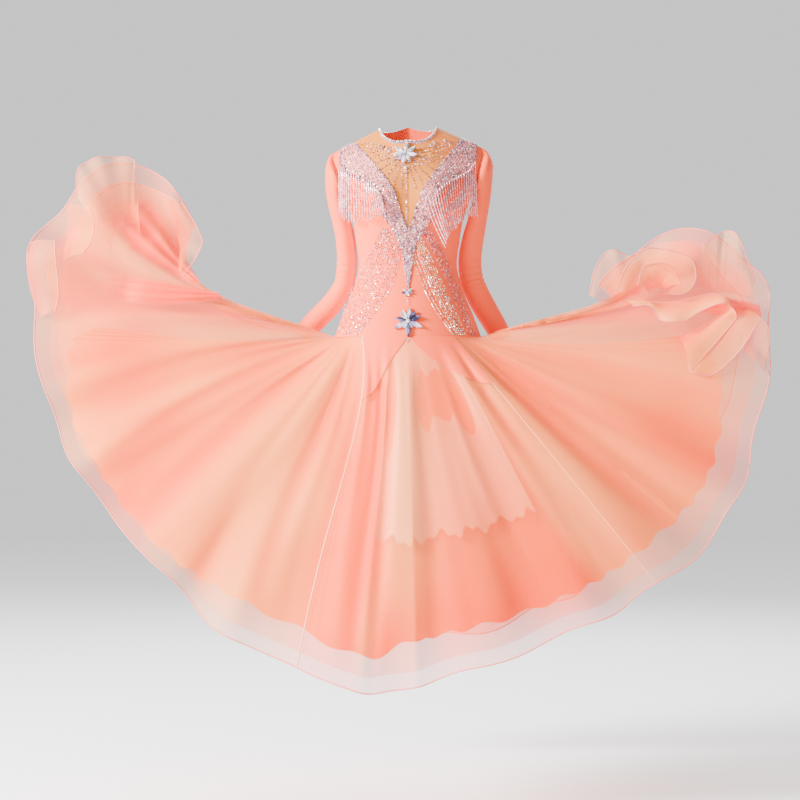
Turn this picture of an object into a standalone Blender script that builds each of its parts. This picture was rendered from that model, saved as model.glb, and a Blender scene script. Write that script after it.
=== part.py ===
"""Ballroom dance dress, worn and filled out with no wearer inside.

Metres, +Z up. The front of the dress faces -Y. The origin is midway between the shoulder
points, where the wearer's shoulders carry the dress.

The cloth is worked out as surfaces first: a body form for the bodice, rings for the
sleeves and curved meridians, from hip to hem, for the skirt. Every surface goes into one
net of shared points, so that two pieces have the same direction at their seam. The net is
then cut into the maker's pieces, parted a little at each seam, and given its thickness.
"""

import math
from collections import namedtuple

import bmesh
import bpy
import numpy as np

# Cloth walls and the gaps between them
JERSEY = 0.0014
NET = 0.0010
ORGANZA = 0.0012
TRIM = 0.0010
SEAM_HALF_GAP = 0.00020
HIP_HALF_GAP = 0.00030
LAID_ON_GAP = 0.00035
SLEEVE_GAP_TOP, SLEEVE_GAP_ARMPIT = 0.0006, 0.0028

# Body form: levels that drive the bodice
HIP_Z = -0.455
ARMPIT_Z = -0.115
NECK_HALF_WIDTH = 0.067
NECK_Z = 0.048
SHOULDER_HALF_WIDTH = 0.175
SHOULDER_SLOPE = 0.49
SHOULDER_TILT = 0.035
NECKLINE_DROP_FRONT = 0.352
NECKLINE_DROP_BACK = 0.13
ARMHOLE_SCOOP = math.radians(25)
BUST_X, BUST_Z, BUST_DEPTH = 0.070, -0.125, 0.020
BUST_SPREAD_X, BUST_SPREAD_Z = 0.045, 0.055

Level = namedtuple("Level", "name height half_width front back")
BODY_FORM = [
    Level("hip", HIP_Z, 0.176, 0.118, 0.130),
    Level("high_hip", -0.400, 0.156, 0.106, 0.118),
    Level("belly", -0.345, 0.133, 0.094, 0.096),
    Level("waist", -0.280, 0.1175, 0.084, 0.078),
    Level("ribs", -0.225, 0.124, 0.092, 0.082),
    Level("under_bust", -0.180, 0.131, 0.100, 0.088),
    Level("armpit", ARMPIT_Z, 0.152, 0.104, 0.096),
]

# Seams of the skirt, as turns round the hip: front centre 0, the viewer's left 0.25, back 0.5
LEFT_SEAM, LEFT_CREST, LEFT_BACK_SEAM, BACK_SEAM = 0.105, 0.25, 0.375, 0.5
RIGHT_BACK_SEAM, RIGHT_CREST, RIGHT_SEAM = 0.625, 0.75, 1 - LEFT_SEAM

# Cut lines on one half of the front. Rise runs 0 to 1 from hip to armpit, and 1 to 2 from there
# to the shoulder seam.
V_BOTTOM_RISE = 0.72
CutLine = namedtuple("CutLine", "rise vee_x band_x")
FRONT_CUTS = [
    CutLine(0.00, 0.000, BODY_FORM[0].half_width * math.sin(2 * math.pi * LEFT_SEAM)),
    CutLine(0.35, 0.000, 0.058),
    CutLine(0.63, 0.000, 0.016),
    CutLine(0.72, 0.000, 0.032),
    CutLine(0.81, 0.011, 0.053),
    CutLine(0.94, 0.026, 0.070),
    CutLine(1.16, 0.050, 0.101),
    CutLine(1.33, 0.068, 0.136),
    CutLine(1.54, 0.090, 0.155),
    CutLine(2.00, 0.131, 0.163),
]
LOWER_RISES = (0.0, 0.17, 0.33, 0.47, 0.63, 0.72, 0.81, 0.90, 1.0)
UPPER_RISES = (1.18, 1.36, 1.53, 1.68, 1.81, 1.93, 2.0)
YOKE_TOP_HALF = FRONT_CUTS[-1].vee_x
NECK_COLUMNS = 4
BAND_COLUMNS = 3
SIDE_COLUMNS = 3

# Sleeves: section centres, the tilt of each section from upright and its two radii
Section = namedtuple("Section", "name x y z tilt radius_out radius_front")
SLEEVE_LEFT = [
    Section("cap", -0.178, 0.004, -0.086, 29, 0.041, 0.046),
    Section("cap_end", -0.1745, 0.006, -0.117, 46, 0.0325, 0.039),
    Section("biceps", -0.1645, 0.010, -0.158, 71, 0.0255, 0.035),
    Section("upper_arm", -0.1525, 0.018, -0.205, 88, 0.0235, 0.033),
    Section("above_elbow", -0.147, 0.030, -0.262, 90, 0.0240, 0.031),
    Section("elbow", -0.151, 0.040, -0.311, 75, 0.0245, 0.031),
    Section("below_elbow", -0.160, 0.046, -0.337, 58, 0.0245, 0.030),
    Section("forearm", -0.186, 0.056, -0.374, 51, 0.0260, 0.030),
    Section("lower_arm", -0.217, 0.066, -0.405, 49, 0.0260, 0.028),
    Section("cuff", -0.262, 0.078, -0.450, 48, 0.0240, 0.025),
]
SLEEVE_RIGHT = [
    Section("cap", 0.181, 0.004, -0.080, 31, 0.046, 0.047),
    Section("cap_end", 0.177, 0.006, -0.113, 46, 0.035, 0.040),
    Section("biceps", 0.169, 0.010, -0.159, 70, 0.0265, 0.035),
    Section("upper_arm", 0.159, 0.018, -0.205, 87, 0.0265, 0.033),
    Section("above_elbow", 0.150, 0.030, -0.260, 90, 0.0280, 0.032),
    Section("elbow", 0.153, 0.040, -0.308, 80, 0.0285, 0.032),
    Section("below_elbow", 0.165, 0.046, -0.341, 64, 0.0290, 0.031),
    Section("forearm", 0.183, 0.056, -0.375, 59, 0.0290, 0.031),
    Section("lower_arm", 0.209, 0.066, -0.418, 59, 0.0275, 0.029),
    Section("cuff", 0.232, 0.078, -0.457, 59, 0.0255, 0.0265),
]

# Skirt: one row for each meridian that shapes it. Turn is its place round the hip, from the
# front centre by the viewer's left. Gather draws it into the neck of its wing, billow bows it
# forward (or back), sag lowers it, and ruffle is the height of the waves at its hem.
Meridian = namedtuple("Meridian", "turn hem_x hem_y hem_z gather billow sag ruffle")
SKIRT = [
    Meridian(0.000, 0.02, -0.36, -1.240, 0.00, 0.05, 0.00, 0.012),
    Meridian(0.105, -0.25, -0.34, -1.200, 0.00, 0.04, 0.00, 0.014),
    Meridian(0.130, -0.42, -0.30, -1.129, 0.00, 0.04, 0.00, 0.014),
    Meridian(0.150, -0.60, -0.25, -0.953, 0.05, 0.04, 0.00, 0.014),
    Meridian(0.168, -0.75, -0.19, -0.787, 0.12, 0.04, 0.00, 0.014),
    Meridian(0.184, -0.845, -0.14, -0.592, 0.30, 0.03, 0.00, 0.014),
    Meridian(0.198, -0.878, -0.10, -0.420, 0.60, 0.01, 0.00, 0.022),
    Meridian(0.210, -0.895, -0.08, -0.280, 0.90, 0.00, 0.00, 0.032),
    Meridian(0.221, -0.820, -0.07, -0.140, 1.00, 0.00, 0.00, 0.036),
    Meridian(0.232, -0.690, -0.06, -0.055, 1.00, 0.00, 0.00, 0.036),
    Meridian(0.241, -0.575, -0.05, -0.075, 1.00, 0.00, 0.00, 0.032),
    Meridian(0.250, -0.510, -0.02, -0.190, 1.00, 0.00, 0.00, 0.026),
    Meridian(0.259, -0.570, 0.02, -0.110, 1.00, 0.00, 0.02, 0.030),
    Meridian(0.268, -0.680, 0.03, -0.090, 0.90, 0.00, 0.06, 0.034),
    Meridian(0.279, -0.800, 0.04, -0.170, 0.70, 0.00, 0.10, 0.034),
    Meridian(0.292, -0.865, 0.06, -0.310, 0.40, 0.00, 0.13, 0.030),
    Meridian(0.310, -0.835, 0.12, -0.520, 0.10, 0.02, 0.14, 0.024),
    Meridian(0.335, -0.755, 0.20, -0.760, 0.00, 0.04, 0.10, 0.022),
    Meridian(0.375, -0.580, 0.31, -0.985, 0.00, 0.05, 0.04, 0.024),
    Meridian(0.430, -0.300, 0.39, -1.165, 0.00, 0.05, 0.00, 0.026),
    Meridian(0.500, 0.000, 0.43, -1.225, 0.00, 0.05, 0.00, 0.026),
    Meridian(0.570, 0.300, 0.40, -1.165, 0.00, 0.05, 0.00, 0.026),
    Meridian(0.625, 0.560, 0.32, -1.000, 0.00, 0.05, 0.04, 0.024),
    Meridian(0.665, 0.720, 0.21, -0.790, 0.00, 0.04, 0.10, 0.022),
    Meridian(0.690, 0.790, 0.13, -0.580, 0.10, 0.02, 0.14, 0.024),
    Meridian(0.708, 0.820, 0.07, -0.420, 0.40, 0.00, 0.13, 0.030),
    Meridian(0.721, 0.760, 0.04, -0.290, 0.70, 0.00, 0.10, 0.032),
    Meridian(0.732, 0.650, 0.03, -0.235, 0.90, 0.00, 0.06, 0.032),
    Meridian(0.741, 0.535, 0.02, -0.255, 1.00, 0.00, 0.02, 0.028),
    Meridian(0.750, 0.455, -0.02, -0.330, 1.00, 0.00, 0.00, 0.022),
    Meridian(0.760, 0.520, -0.05, -0.262, 1.00, 0.00, 0.00, 0.030),
    Meridian(0.772, 0.640, -0.07, -0.212, 1.00, 0.00, 0.00, 0.036),
    Meridian(0.785, 0.775, -0.08, -0.240, 1.00, 0.00, 0.00, 0.036),
    Meridian(0.798, 0.850, -0.09, -0.375, 0.85, 0.00, 0.00, 0.030),
    Meridian(0.814, 0.848, -0.11, -0.500, 0.55, 0.01, 0.00, 0.020),
    Meridian(0.832, 0.820, -0.13, -0.640, 0.28, 0.03, 0.00, 0.014),
    Meridian(0.852, 0.785, -0.16, -0.778, 0.10, 0.04, 0.00, 0.014),
    Meridian(0.873, 0.700, -0.20, -0.924, 0.03, 0.04, 0.00, 0.014),
    Meridian(0.895, 0.565, -0.26, -1.024, 0.00, 0.04, 0.00, 0.014),
    Meridian(0.950, 0.280, -0.33, -1.161, 0.00, 0.05, 0.00, 0.013),
]
WING_NECK = {"left": (-0.600, -0.385), "right": (0.575, -0.405)}
WING_SHOULDER = {"left": (-0.340, -0.395), "right": (0.320, -0.405)}
SKIRT_ROWS = (0.0, 0.10, 0.20, 0.32, 0.44, 0.56, 0.67, 0.77, 0.86, 0.94, 1.0)
TAIL_ROW = 2
WAVES_A_QUARTER = 8
SEAM_PULL, SEAM_PULL_SPREAD = 0.0285, 0.05
HEM_STEP = 0.054

# Lining skirt: the same kind of table, without the gathered wings
LINING = [
    Meridian(0.000, 0.04, -0.31, -1.140, 0, 0.03, 0.00, 0),
    Meridian(0.105, -0.24, -0.29, -1.126, 0, 0.02, 0.00, 0),
    Meridian(0.150, -0.58, -0.21, -0.932, 0, 0.02, 0.00, 0),
    Meridian(0.168, -0.70, -0.16, -0.796, 0, 0.02, 0.00, 0),
    Meridian(0.184, -0.79, -0.11, -0.640, 0, 0.01, 0.00, 0),
    Meridian(0.200, -0.80, -0.08, -0.500, 0, 0.00, 0.01, 0),
    Meridian(0.225, -0.76, -0.04, -0.440, 0, 0.00, 0.02, 0),
    Meridian(0.250, -0.70, -0.01, -0.440, 0, 0.00, 0.05, 0),
    Meridian(0.280, -0.71, 0.03, -0.500, 0, 0.00, 0.12, 0),
    Meridian(0.305, -0.73, 0.08, -0.600, 0, 0.00, 0.15, 0),
    Meridian(0.335, -0.67, 0.16, -0.790, 0, 0.02, 0.12, 0),
    Meridian(0.375, -0.52, 0.26, -0.960, 0, 0.03, 0.06, 0),
    Meridian(0.430, -0.27, 0.33, -1.090, 0, 0.03, 0.02, 0),
    Meridian(0.500, 0.00, 0.36, -1.130, 0, 0.03, 0.02, 0),
    Meridian(0.570, 0.27, 0.34, -1.090, 0, 0.03, 0.02, 0),
    Meridian(0.625, 0.50, 0.27, -0.970, 0, 0.03, 0.06, 0),
    Meridian(0.665, 0.64, 0.17, -0.810, 0, 0.02, 0.12, 0),
    Meridian(0.695, 0.69, 0.09, -0.630, 0, 0.00, 0.15, 0),
    Meridian(0.720, 0.66, 0.03, -0.520, 0, 0.00, 0.12, 0),
    Meridian(0.750, 0.62, -0.01, -0.460, 0, 0.00, 0.05, 0),
    Meridian(0.775, 0.68, -0.04, -0.460, 0, 0.00, 0.02, 0),
    Meridian(0.800, 0.73, -0.08, -0.530, 0, 0.00, 0.01, 0),
    Meridian(0.818, 0.735, -0.10, -0.640, 0, 0.01, 0.00, 0),
    Meridian(0.845, 0.70, -0.14, -0.780, 0, 0.02, 0.00, 0),
    Meridian(0.895, 0.50, -0.22, -0.974, 0, 0.02, 0.00, 0),
    Meridian(0.950, 0.27, -0.28, -1.084, 0, 0.02, 0.00, 0),
]
LINING_HIP_SCALE, LINING_DROP = 0.9885, 0.0022
LINING_ROWS = (0.0, 0.14, 0.30, 0.48, 0.66, 0.84, 1.0)
LINING_STEP = 0.120

# Flounces: the skirt row that carries each, the stretch of the skirt that it covers, its depth and lift
Flounce = namedtuple("Flounce", "name row first_turn last_turn depth lift ruffle")
FLOUNCES = [
    Flounce("flounce_left_inner", 6, 0.201, 0.240, 0.120, 0.050, 0.016),
    Flounce("flounce_left_outer", 8, 0.188, 0.234, 0.100, 0.050, 0.018),
    Flounce("flounce_right_inner", 6, 0.763, 0.806, 0.110, 0.050, 0.016),
    Flounce("flounce_right_outer", 8, 0.776, 0.830, 0.095, 0.050, 0.018),
]

# Stoned bands: rows of the front where each starts, narrowed to a tip, and its trims
BAND_TIP_ROW, BAND_FULL_ROW = 2, 4
NECK_TRIM = 0.0018

# Beaded fringe on the outer edge of each stoned band: its rows, and where its strands end
FRINGE_ROWS = (7, 11)
FRINGE_STRANDS = 26
FRINGE_STRIP_WIDTH, FRINGE_STRIP, FRINGE_GAP = 0.006, 0.0018, 0.0010
STRAND_SHARE = 0.62
StrandEnd = namedtuple("StrandEnd", "across end_z swing")
STRANDS_LEFT = [
    StrandEnd(0.055, -0.176, -5),
    StrandEnd(0.094, -0.181, -2),
    StrandEnd(0.139, -0.178, 0),
    StrandEnd(0.170, -0.163, 0),
]
STRANDS_RIGHT = [
    StrandEnd(0.046, -0.245, 24),
    StrandEnd(0.082, -0.205, 19),
    StrandEnd(0.130, -0.170, 9),
    StrandEnd(0.163, -0.163, 0),
]

# Raised stone motifs on the centre line
Motif = namedtuple("Motif", "name x z radius petals waist drop thickness gap")
MOTIFS = [
    Motif("neck_flower", -0.007, -0.0216, 0.023, 8, 0.62, 0.014, 0.0045, 0.0012),
    Motif("waist_motif", -0.002, -0.352, 0.010, 6, 0.70, 0.004, 0.0030, 0.0022),
    Motif("hip_brooch", 0.000, -0.420, 0.030, 8, 0.60, 0.028, 0.0060, 0.0014),
]

Finish = namedtuple("Finish", "name colour roughness metallic")
CORAL_JERSEY = Finish("coral_jersey", (0.95, 0.55, 0.45, 1.0), 0.60, 0.0)
NUDE_NET = Finish("nude_net", (0.90, 0.70, 0.52, 1.0), 0.55, 0.0)
PEACH_ORGANZA = Finish("peach_organza", (0.97, 0.68, 0.58, 1.0), 0.45, 0.0)
PEACH_LINING = Finish("peach_lining", (0.98, 0.72, 0.58, 1.0), 0.55, 0.0)
STONED_BAND = Finish("stoned_band", (0.90, 0.72, 0.78, 1.0), 0.25, 0.0)
CRYSTAL = Finish("crystal", (0.85, 0.86, 0.95, 1.0), 0.08, 0.0)
BEADS = Finish("beads", (0.97, 0.72, 0.72, 1.0), 0.20, 0.0)


def clear_scene():
    for obj in list(bpy.data.objects):
        bpy.data.objects.remove(obj)


def unit(vectors):
    length = np.linalg.norm(vectors, axis=-1, keepdims=True)
    return vectors / np.maximum(length, 1e-12)


def smooth(keys, values, at, period=None):
    """Values of a table at any place: a cubic between rows, with slopes from the rows on each side."""
    keys = np.asarray(keys, float)
    values = np.asarray(values, float).reshape(len(keys), -1)
    if period:
        keys = np.concatenate([keys[-2:] - period, keys, keys[:2] + period])
        values = np.concatenate([values[-2:], values, values[:2]])
        at = np.mod(at, period)
    at = np.asarray(at, float)
    slopes = np.gradient(values, keys, axis=0)
    i = np.clip(np.searchsorted(keys, at, side="right") - 1, 0, len(keys) - 2)
    step = (keys[i + 1] - keys[i])[..., None]
    s = ((at - keys[i])[..., None]) / step
    start, end = values[i], values[i + 1]
    rise_start, rise_end = slopes[i] * step, slopes[i + 1] * step
    return (
        start * (2 * s**3 - 3 * s**2 + 1)
        + rise_start * (s**3 - 2 * s**2 + s)
        + end * (3 * s**2 - 2 * s**3)
        + rise_end * (s**3 - s**2)
    )


def ease(x):
    x = np.clip(x, 0, 1)
    return x * x * (3 - 2 * x)


# Body form


def shoulder_height(x):
    """Height of the shoulder seam at x, higher towards the neck and on the wearer's left."""
    return NECK_Z - SHOULDER_SLOPE * (np.abs(x) - NECK_HALF_WIDTH) + SHOULDER_TILT * x


def bust(x, z):
    across = np.exp(-(((np.abs(x) - BUST_X) / BUST_SPREAD_X) ** 2))
    return BUST_DEPTH * across * np.exp(-(((z - BUST_Z) / BUST_SPREAD_Z) ** 2))


def lower_form(rise):
    """Height, half width, front depth and back depth of the form below the armpit."""
    height = HIP_Z + np.clip(rise, 0, 1) * (ARMPIT_Z - HIP_Z)
    table = [level[2:] for level in BODY_FORM]
    return height, smooth([level.height for level in BODY_FORM], table, height)


def form_half_width(rise):
    w = np.clip(rise - 1, 0, 1)
    swell = 0.022 * np.sin(np.pi * w)
    upper = BODY_FORM[-1].half_width + (SHOULDER_HALF_WIDTH - BODY_FORM[-1].half_width) * w + swell
    return np.where(rise > 1, upper, lower_form(rise)[1][..., 0])


def body_point(angle, rise, front):
    """A point of the body form: angle from the centre line towards +X, and rise as in FRONT_CUTS."""
    angle, rise = np.broadcast_arrays(np.asarray(angle, float), np.asarray(rise, float))
    w = np.clip(rise - 1, 0, 1)
    x = form_half_width(rise) * np.sin(angle)
    level_z, form = lower_form(rise)
    z = np.where(rise > 1, ARMPIT_Z + w * (shoulder_height(x) - ARMPIT_Z), level_z)
    if front:
        depth = form[..., 1] * np.maximum(1 - w**1.5, 0) ** 0.75
        y = -depth * np.cos(angle) - bust(x, z) * np.cos(angle) ** 0.5 * np.maximum(1 - w**2, 0)
    else:
        depth = form[..., 2] * np.sqrt(np.maximum(1 - w**2, 0))
        y = depth * np.cos(angle)
    return np.stack([x, y, z], axis=-1)


def front_y(x, z):
    """Y of the front of the form at a point of the front view below the shoulder seam."""
    low = (z - HIP_Z) / (ARMPIT_Z - HIP_Z)
    high = 1 + (z - ARMPIT_Z) / (shoulder_height(x) - ARMPIT_Z)
    rise = np.where(z < ARMPIT_Z, low, high)
    angle = np.arcsin(np.clip(x / form_half_width(rise), -1, 1))
    return body_point(angle, rise, True)[..., 1]


def side_angle(rise):
    """Angle of the side seam, and above the armpit of the armhole's edge."""
    return math.pi / 2 - ARMHOLE_SCOOP * np.sin(np.pi * np.clip(np.asarray(rise) - 1, 0, 1))


def cut_angle(rise, column):
    """Angle of the V edge (column 1) or of the band's outer edge (column 2) at a level."""
    cut_x = smooth([c.rise for c in FRONT_CUTS], [c[column] for c in FRONT_CUTS], rise)[..., 0]
    return np.arcsin(np.clip(np.maximum(cut_x, 0) / form_half_width(rise), 0, 1))


def neckline_drop(x, deepest):
    """How far, in rise, the neckline lies below the shoulder seam at x."""
    inside = np.clip(np.abs(x) / NECK_HALF_WIDTH, 0, 1)
    return deepest * (1 - inside**2) ** 0.6


def front_angles(rise):
    """Angles of a level's columns on one half of the front, from the V edge to the side."""
    vee = cut_angle(rise, 1) if rise > V_BOTTOM_RISE else 0.0
    band, side = cut_angle(rise, 2), side_angle(rise)
    inner = np.linspace(vee, band, BAND_COLUMNS + 1)
    return np.concatenate([inner, np.linspace(band, side, SIDE_COLUMNS + 1)[1:]])


def all_rises():
    return LOWER_RISES + UPPER_RISES


def front_half(side):
    """Grid of one half of the front, from hip to shoulder (rows) and V edge to side (columns)."""
    rows = [body_point(side * front_angles(r), r, True) for r in all_rises()]
    return np.array(rows)


def front_yoke():
    """Grid of the net that fills the V, from the V's foot to the shoulder seams and neckline."""
    neck = np.linspace(0, NECK_HALF_WIDTH, NECK_COLUMNS + 1) / YOKE_TOP_HALF
    half = np.append(neck, 1.0)
    across = np.concatenate([-half[:0:-1], half])
    rows = [body_point(0 * across, V_BOTTOM_RISE, True)]
    for rise in [r for r in all_rises() if r > V_BOTTOM_RISE]:
        edge = cut_angle(rise, 1)
        # The V edge lies at this level, and the middle dips to the neckline.
        edge_x = float(form_half_width(rise) * np.sin(edge))
        x = across * edge_x
        fade = (rise - V_BOTTOM_RISE) / (2 - V_BOTTOM_RISE)
        from_middle = x * max(NECK_HALF_WIDTH / edge_x, 1.0)
        level = rise - neckline_drop(from_middle, NECKLINE_DROP_FRONT) * fade
        angle = np.arcsin(x / form_half_width(level))
        rows.append(body_point(angle, level, True))
    return np.array(rows)


def back_panel():
    """Grid of the back, from hip to shoulder and neckline, ending on the front's seam points."""
    top = np.arcsin(np.linspace(0, NECK_HALF_WIDTH, NECK_COLUMNS + 1) / SHOULDER_HALF_WIDTH)
    half = np.concatenate([top, front_angles(2.0)]) / (math.pi / 2)
    across = np.concatenate([-half[:0:-1], half])
    rows = []
    for rise in all_rises():
        spread = 1.0 if rise > 1.6 else ease(rise / 1.6)
        even = np.linspace(-1, 1, len(across))
        angle = (even + (across - even) * spread) * side_angle(rise)
        x_top = SHOULDER_HALF_WIDTH * np.sin(across * math.pi / 2)
        level = rise - neckline_drop(x_top, NECKLINE_DROP_BACK) * max(rise - 1, 0)
        rows.append(body_point(angle, level, False))
    return np.array(rows)


def armhole(side):
    """The armhole's edge as a ring: shoulder point, down the front, armpit, up the back."""
    rises = (1.0,) + UPPER_RISES
    front = [body_point(side * side_angle(r), r, True) for r in reversed(rises)]
    back = [body_point(side * side_angle(r), r, False) for r in rises[1:-1]]
    return np.array(front + back)


def sleeve_rings(side, sections):
    """Rings of one sleeve, the first just outside the armhole and the last at the cuff."""
    hole = armhole(side)
    low = np.clip((hole[0, 2] - hole[:, 2]) / (hole[0, 2] - ARMPIT_Z), 0, 1)
    hole[:, 0] += side * (SLEEVE_GAP_TOP + (SLEEVE_GAP_ARMPIT - SLEEVE_GAP_TOP) * low)
    turns = np.linspace(0, 2 * math.pi, len(hole), endpoint=False)
    rings = [hole]
    for section in sections:
        tilt = math.radians(section.tilt)
        out = np.array([side * math.sin(tilt), 0, math.cos(tilt)])
        front = np.array([0, -1, 0])
        centre = np.array([section.x, section.y, section.z])
        ring = (
            centre
            + section.radius_out * np.cos(turns)[:, None] * out
            + section.radius_front * np.sin(turns)[:, None] * front
        )
        rings.append(ring)
    return np.array(rings)


# Skirt


def hip_corners():
    """Corners of the hip seam, where the bodice's columns end, by turns round the hip."""
    front = front_angles(0.0)
    back = np.linspace(-math.pi / 2, math.pi / 2, back_panel().shape[1])[1:-1]
    turns = np.concatenate([front, back + math.pi, 2 * math.pi - front[::-1]]) / (2 * math.pi)
    points = [body_point(-a, 0.0, True) for a in front]
    points += [body_point(a, 0.0, False) for a in back]
    points += [body_point(a, 0.0, True) for a in front[::-1]]
    return turns, np.array(points)


HIP_TURNS, HIP_POINTS = hip_corners()


def hip_point(turn):
    """A point of the hip seam, straight between the bodice's columns."""
    turn = np.mod(turn, 1.0)
    x = np.interp(turn, HIP_TURNS, HIP_POINTS[:, 0])
    y = np.interp(turn, HIP_TURNS, HIP_POINTS[:, 1])
    return np.stack([x, y, np.full_like(x, HIP_Z)], axis=-1)


def hem_arcs():
    """Length along the hem from the nearer crest, in quarters, on a fine list of turns."""
    turns = np.linspace(0, 1, 2001)
    rows = [m[1:4] for m in SKIRT]
    hem = smooth([m.turn for m in SKIRT], rows, turns, period=1.0)
    steps = np.linalg.norm(np.diff(hem, axis=0), axis=1)
    return turns, np.concatenate([[0], np.cumsum(steps)])


ARC_TURNS, ARC_LENGTHS = hem_arcs()


def arc_at(turn):
    return np.interp(turn, ARC_TURNS, ARC_LENGTHS)


def wave_phase(turn):
    """Phase of the hem's waves, which starts at each crest and is whole at the centre lines."""
    turn = np.mod(turn, 1.0)
    phase = np.zeros_like(turn)
    for crest, first, last in ((LEFT_CREST, 0.0, 0.5), (RIGHT_CREST, 0.5, 1.0)):
        for low, high in ((first, crest), (crest, last)):
            far = first if low == first else last
            share = np.abs(arc_at(turn) - arc_at(crest)) / abs(arc_at(far) - arc_at(crest))
            phase = np.where((turn >= low) & (turn <= high), share, phase)
    phase = 2 * math.pi * WAVES_A_QUARTER * phase
    return phase + 0.5 * np.sin(phase / 2)


def skirt_controls(turn, meridians):
    """The four points that shape each meridian: hip, two pulls and hem."""
    table = smooth([m.turn for m in meridians], [m[1:] for m in meridians], turn, period=1.0)
    hem, (gather, billow, sag, ruffle) = table[..., :3], np.moveaxis(table[..., 3:], -1, 0)
    gather = np.clip(gather, 0, 1)[..., None]
    hip = hip_point(turn)
    left = np.mod(turn, 1.0) < 0.5
    toward_front = np.where(left, LEFT_CREST - np.mod(turn, 1.0), np.mod(turn, 1.0) - RIGHT_CREST)
    forward = np.tanh(toward_front / 0.03)
    neck = np.where(left[..., None], WING_NECK["left"], WING_NECK["right"])
    shoulder = np.where(left[..., None], WING_SHOULDER["left"], WING_SHOULDER["right"])
    pull_shoulder = np.stack([shoulder[..., 0], -0.045 - 0.03 * forward, shoulder[..., 1]], -1)
    pull_neck = np.stack([neck[..., 0], -0.030 - 0.045 * forward, neck[..., 1]], -1)
    out = np.zeros_like(hip)
    out[..., 1] = -np.tanh(toward_front / 0.08) * billow
    drop = np.zeros_like(hip)
    drop[..., 2] = -sag
    first = hip + (hem - hip) / 3
    second = hip + (hem - hip) * 2 / 3
    first = first + (pull_shoulder - first) * gather + 0.7 * out + drop
    second = second + (pull_neck - second) * gather + out + 0.6 * drop
    return hip, first, second, hem, gather, ruffle


def bezier(hip, first, second, hem, t):
    return (
        hip * (1 - t) ** 3
        + 3 * first * t * (1 - t) ** 2
        + 3 * second * t**2 * (1 - t)
        + hem * t**3
    )


def seam_pull(turn, down):
    """The left front seam drops straight from the hip before it flares: the cloth there moves in."""
    beside = np.mod(turn + 0.5, 1.0) - 0.5 - LEFT_SEAM
    share = 256 / 27 * down * (1 - down) ** 3 * np.exp(-((beside / SEAM_PULL_SPREAD) ** 2))
    move = np.zeros(share.shape + (3,))
    move[..., 0] = SEAM_PULL * share
    return move


def skirt_point(turn, down, waves=1.0):
    """A point of the skirt: its place round the hip, and 0 to 1 from hip to hem."""
    turn, down = np.broadcast_arrays(np.asarray(turn, float), np.asarray(down, float))
    hip, first, second, hem, gather, ruffle = skirt_controls(turn, SKIRT)
    t = down[..., None]
    point = bezier(hip, first, second, hem, t) + seam_pull(turn, down)
    outward = unit(hem - second)
    phase = wave_phase(turn)[..., None]
    early = 0.14 * ease(t / 0.3) * (1 - gather)
    late = ease((t - 0.35 - 0.25 * gather) / (0.65 - 0.25 * gather))
    height = waves * ruffle[..., None] * (early + 0.86 * late)
    # The waves grow with distance from each crest, where front and back meet.
    height = height * ease(phase / (1.6 * math.pi))
    sway = np.array([0.0, -1.0, 0.0]) * np.sin(phase) + 0.4 * outward * np.cos(phase)
    return point + height * sway


def hem_turns(first, last, step):
    """Places round the hip, evenly spaced along the hem between two seams."""
    if first < 0:
        right = hem_turns(first + 1, 1.0, step) - 1.0
        return np.concatenate([right, hem_turns(0.0, last, step)[1:]])
    start, end = arc_at(first), arc_at(last)
    count = max(2, round((end - start) / step))
    return np.interp(np.linspace(start, end, count + 1), ARC_LENGTHS, ARC_TURNS)


def godet_turns(down):
    """Left and right edges of the front godet, which opens from one point at the front centre."""
    share = min(down / SKIRT_ROWS[TAIL_ROW], 1.0)
    return -(1 - RIGHT_SEAM) * share, LEFT_SEAM * share


def godet_columns():
    """Places of the godet's columns below the tails, even along the hem."""
    return hem_turns(RIGHT_SEAM - 1, LEFT_SEAM, HEM_STEP)


def front_godet():
    """Grid of the godet, whose first row is the one point between the bodice's two tails."""
    columns = godet_columns()
    rows = []
    for down in SKIRT_ROWS:
        right, left = godet_turns(down)
        scale = np.where(columns < 0, -right / (1 - RIGHT_SEAM), left / LEFT_SEAM)
        rows.append(skirt_point(columns * scale, down))
    return np.array(rows)


def tail(side):
    """Grid of one pointed tail of the bodice, over the skirt, from the hip seam to its tip."""
    seam = LEFT_SEAM if side < 0 else RIGHT_SEAM - 1
    share = front_angles(0.0)[: BAND_COLUMNS + 1] / front_angles(0.0)[BAND_COLUMNS]
    rows = []
    for down in SKIRT_ROWS[: TAIL_ROW + 1]:
        inner = godet_turns(down)[1 if side < 0 else 0]
        rows.append(skirt_point(inner + (seam - inner) * share, down))
    return np.array(rows)


def gore(first, last):
    turns = hem_turns(first, last, HEM_STEP)
    return skirt_point(turns[None, :], np.array(SKIRT_ROWS)[:, None])


def lining_grid():
    """The lining skirt, all round, which hangs inside the outer one from just below the hip seam."""
    turns = hem_turns(0.0, 1.0, LINING_STEP)[:-1]
    down = np.array(LINING_ROWS)[:, None]
    turns, down = np.broadcast_arrays(turns[None, :], down)
    hip, first_pull, second_pull, hem = skirt_controls(turns, LINING)[:4]
    inside = hip * np.array([LINING_HIP_SCALE, LINING_HIP_SCALE, 1.0])
    inside[..., 2] -= LINING_DROP
    hanging = bezier(inside, first_pull + inside - hip, second_pull, hem, down[..., None])
    return hanging + seam_pull(turns, down)


# Nets of cloth, cut into pieces


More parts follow.
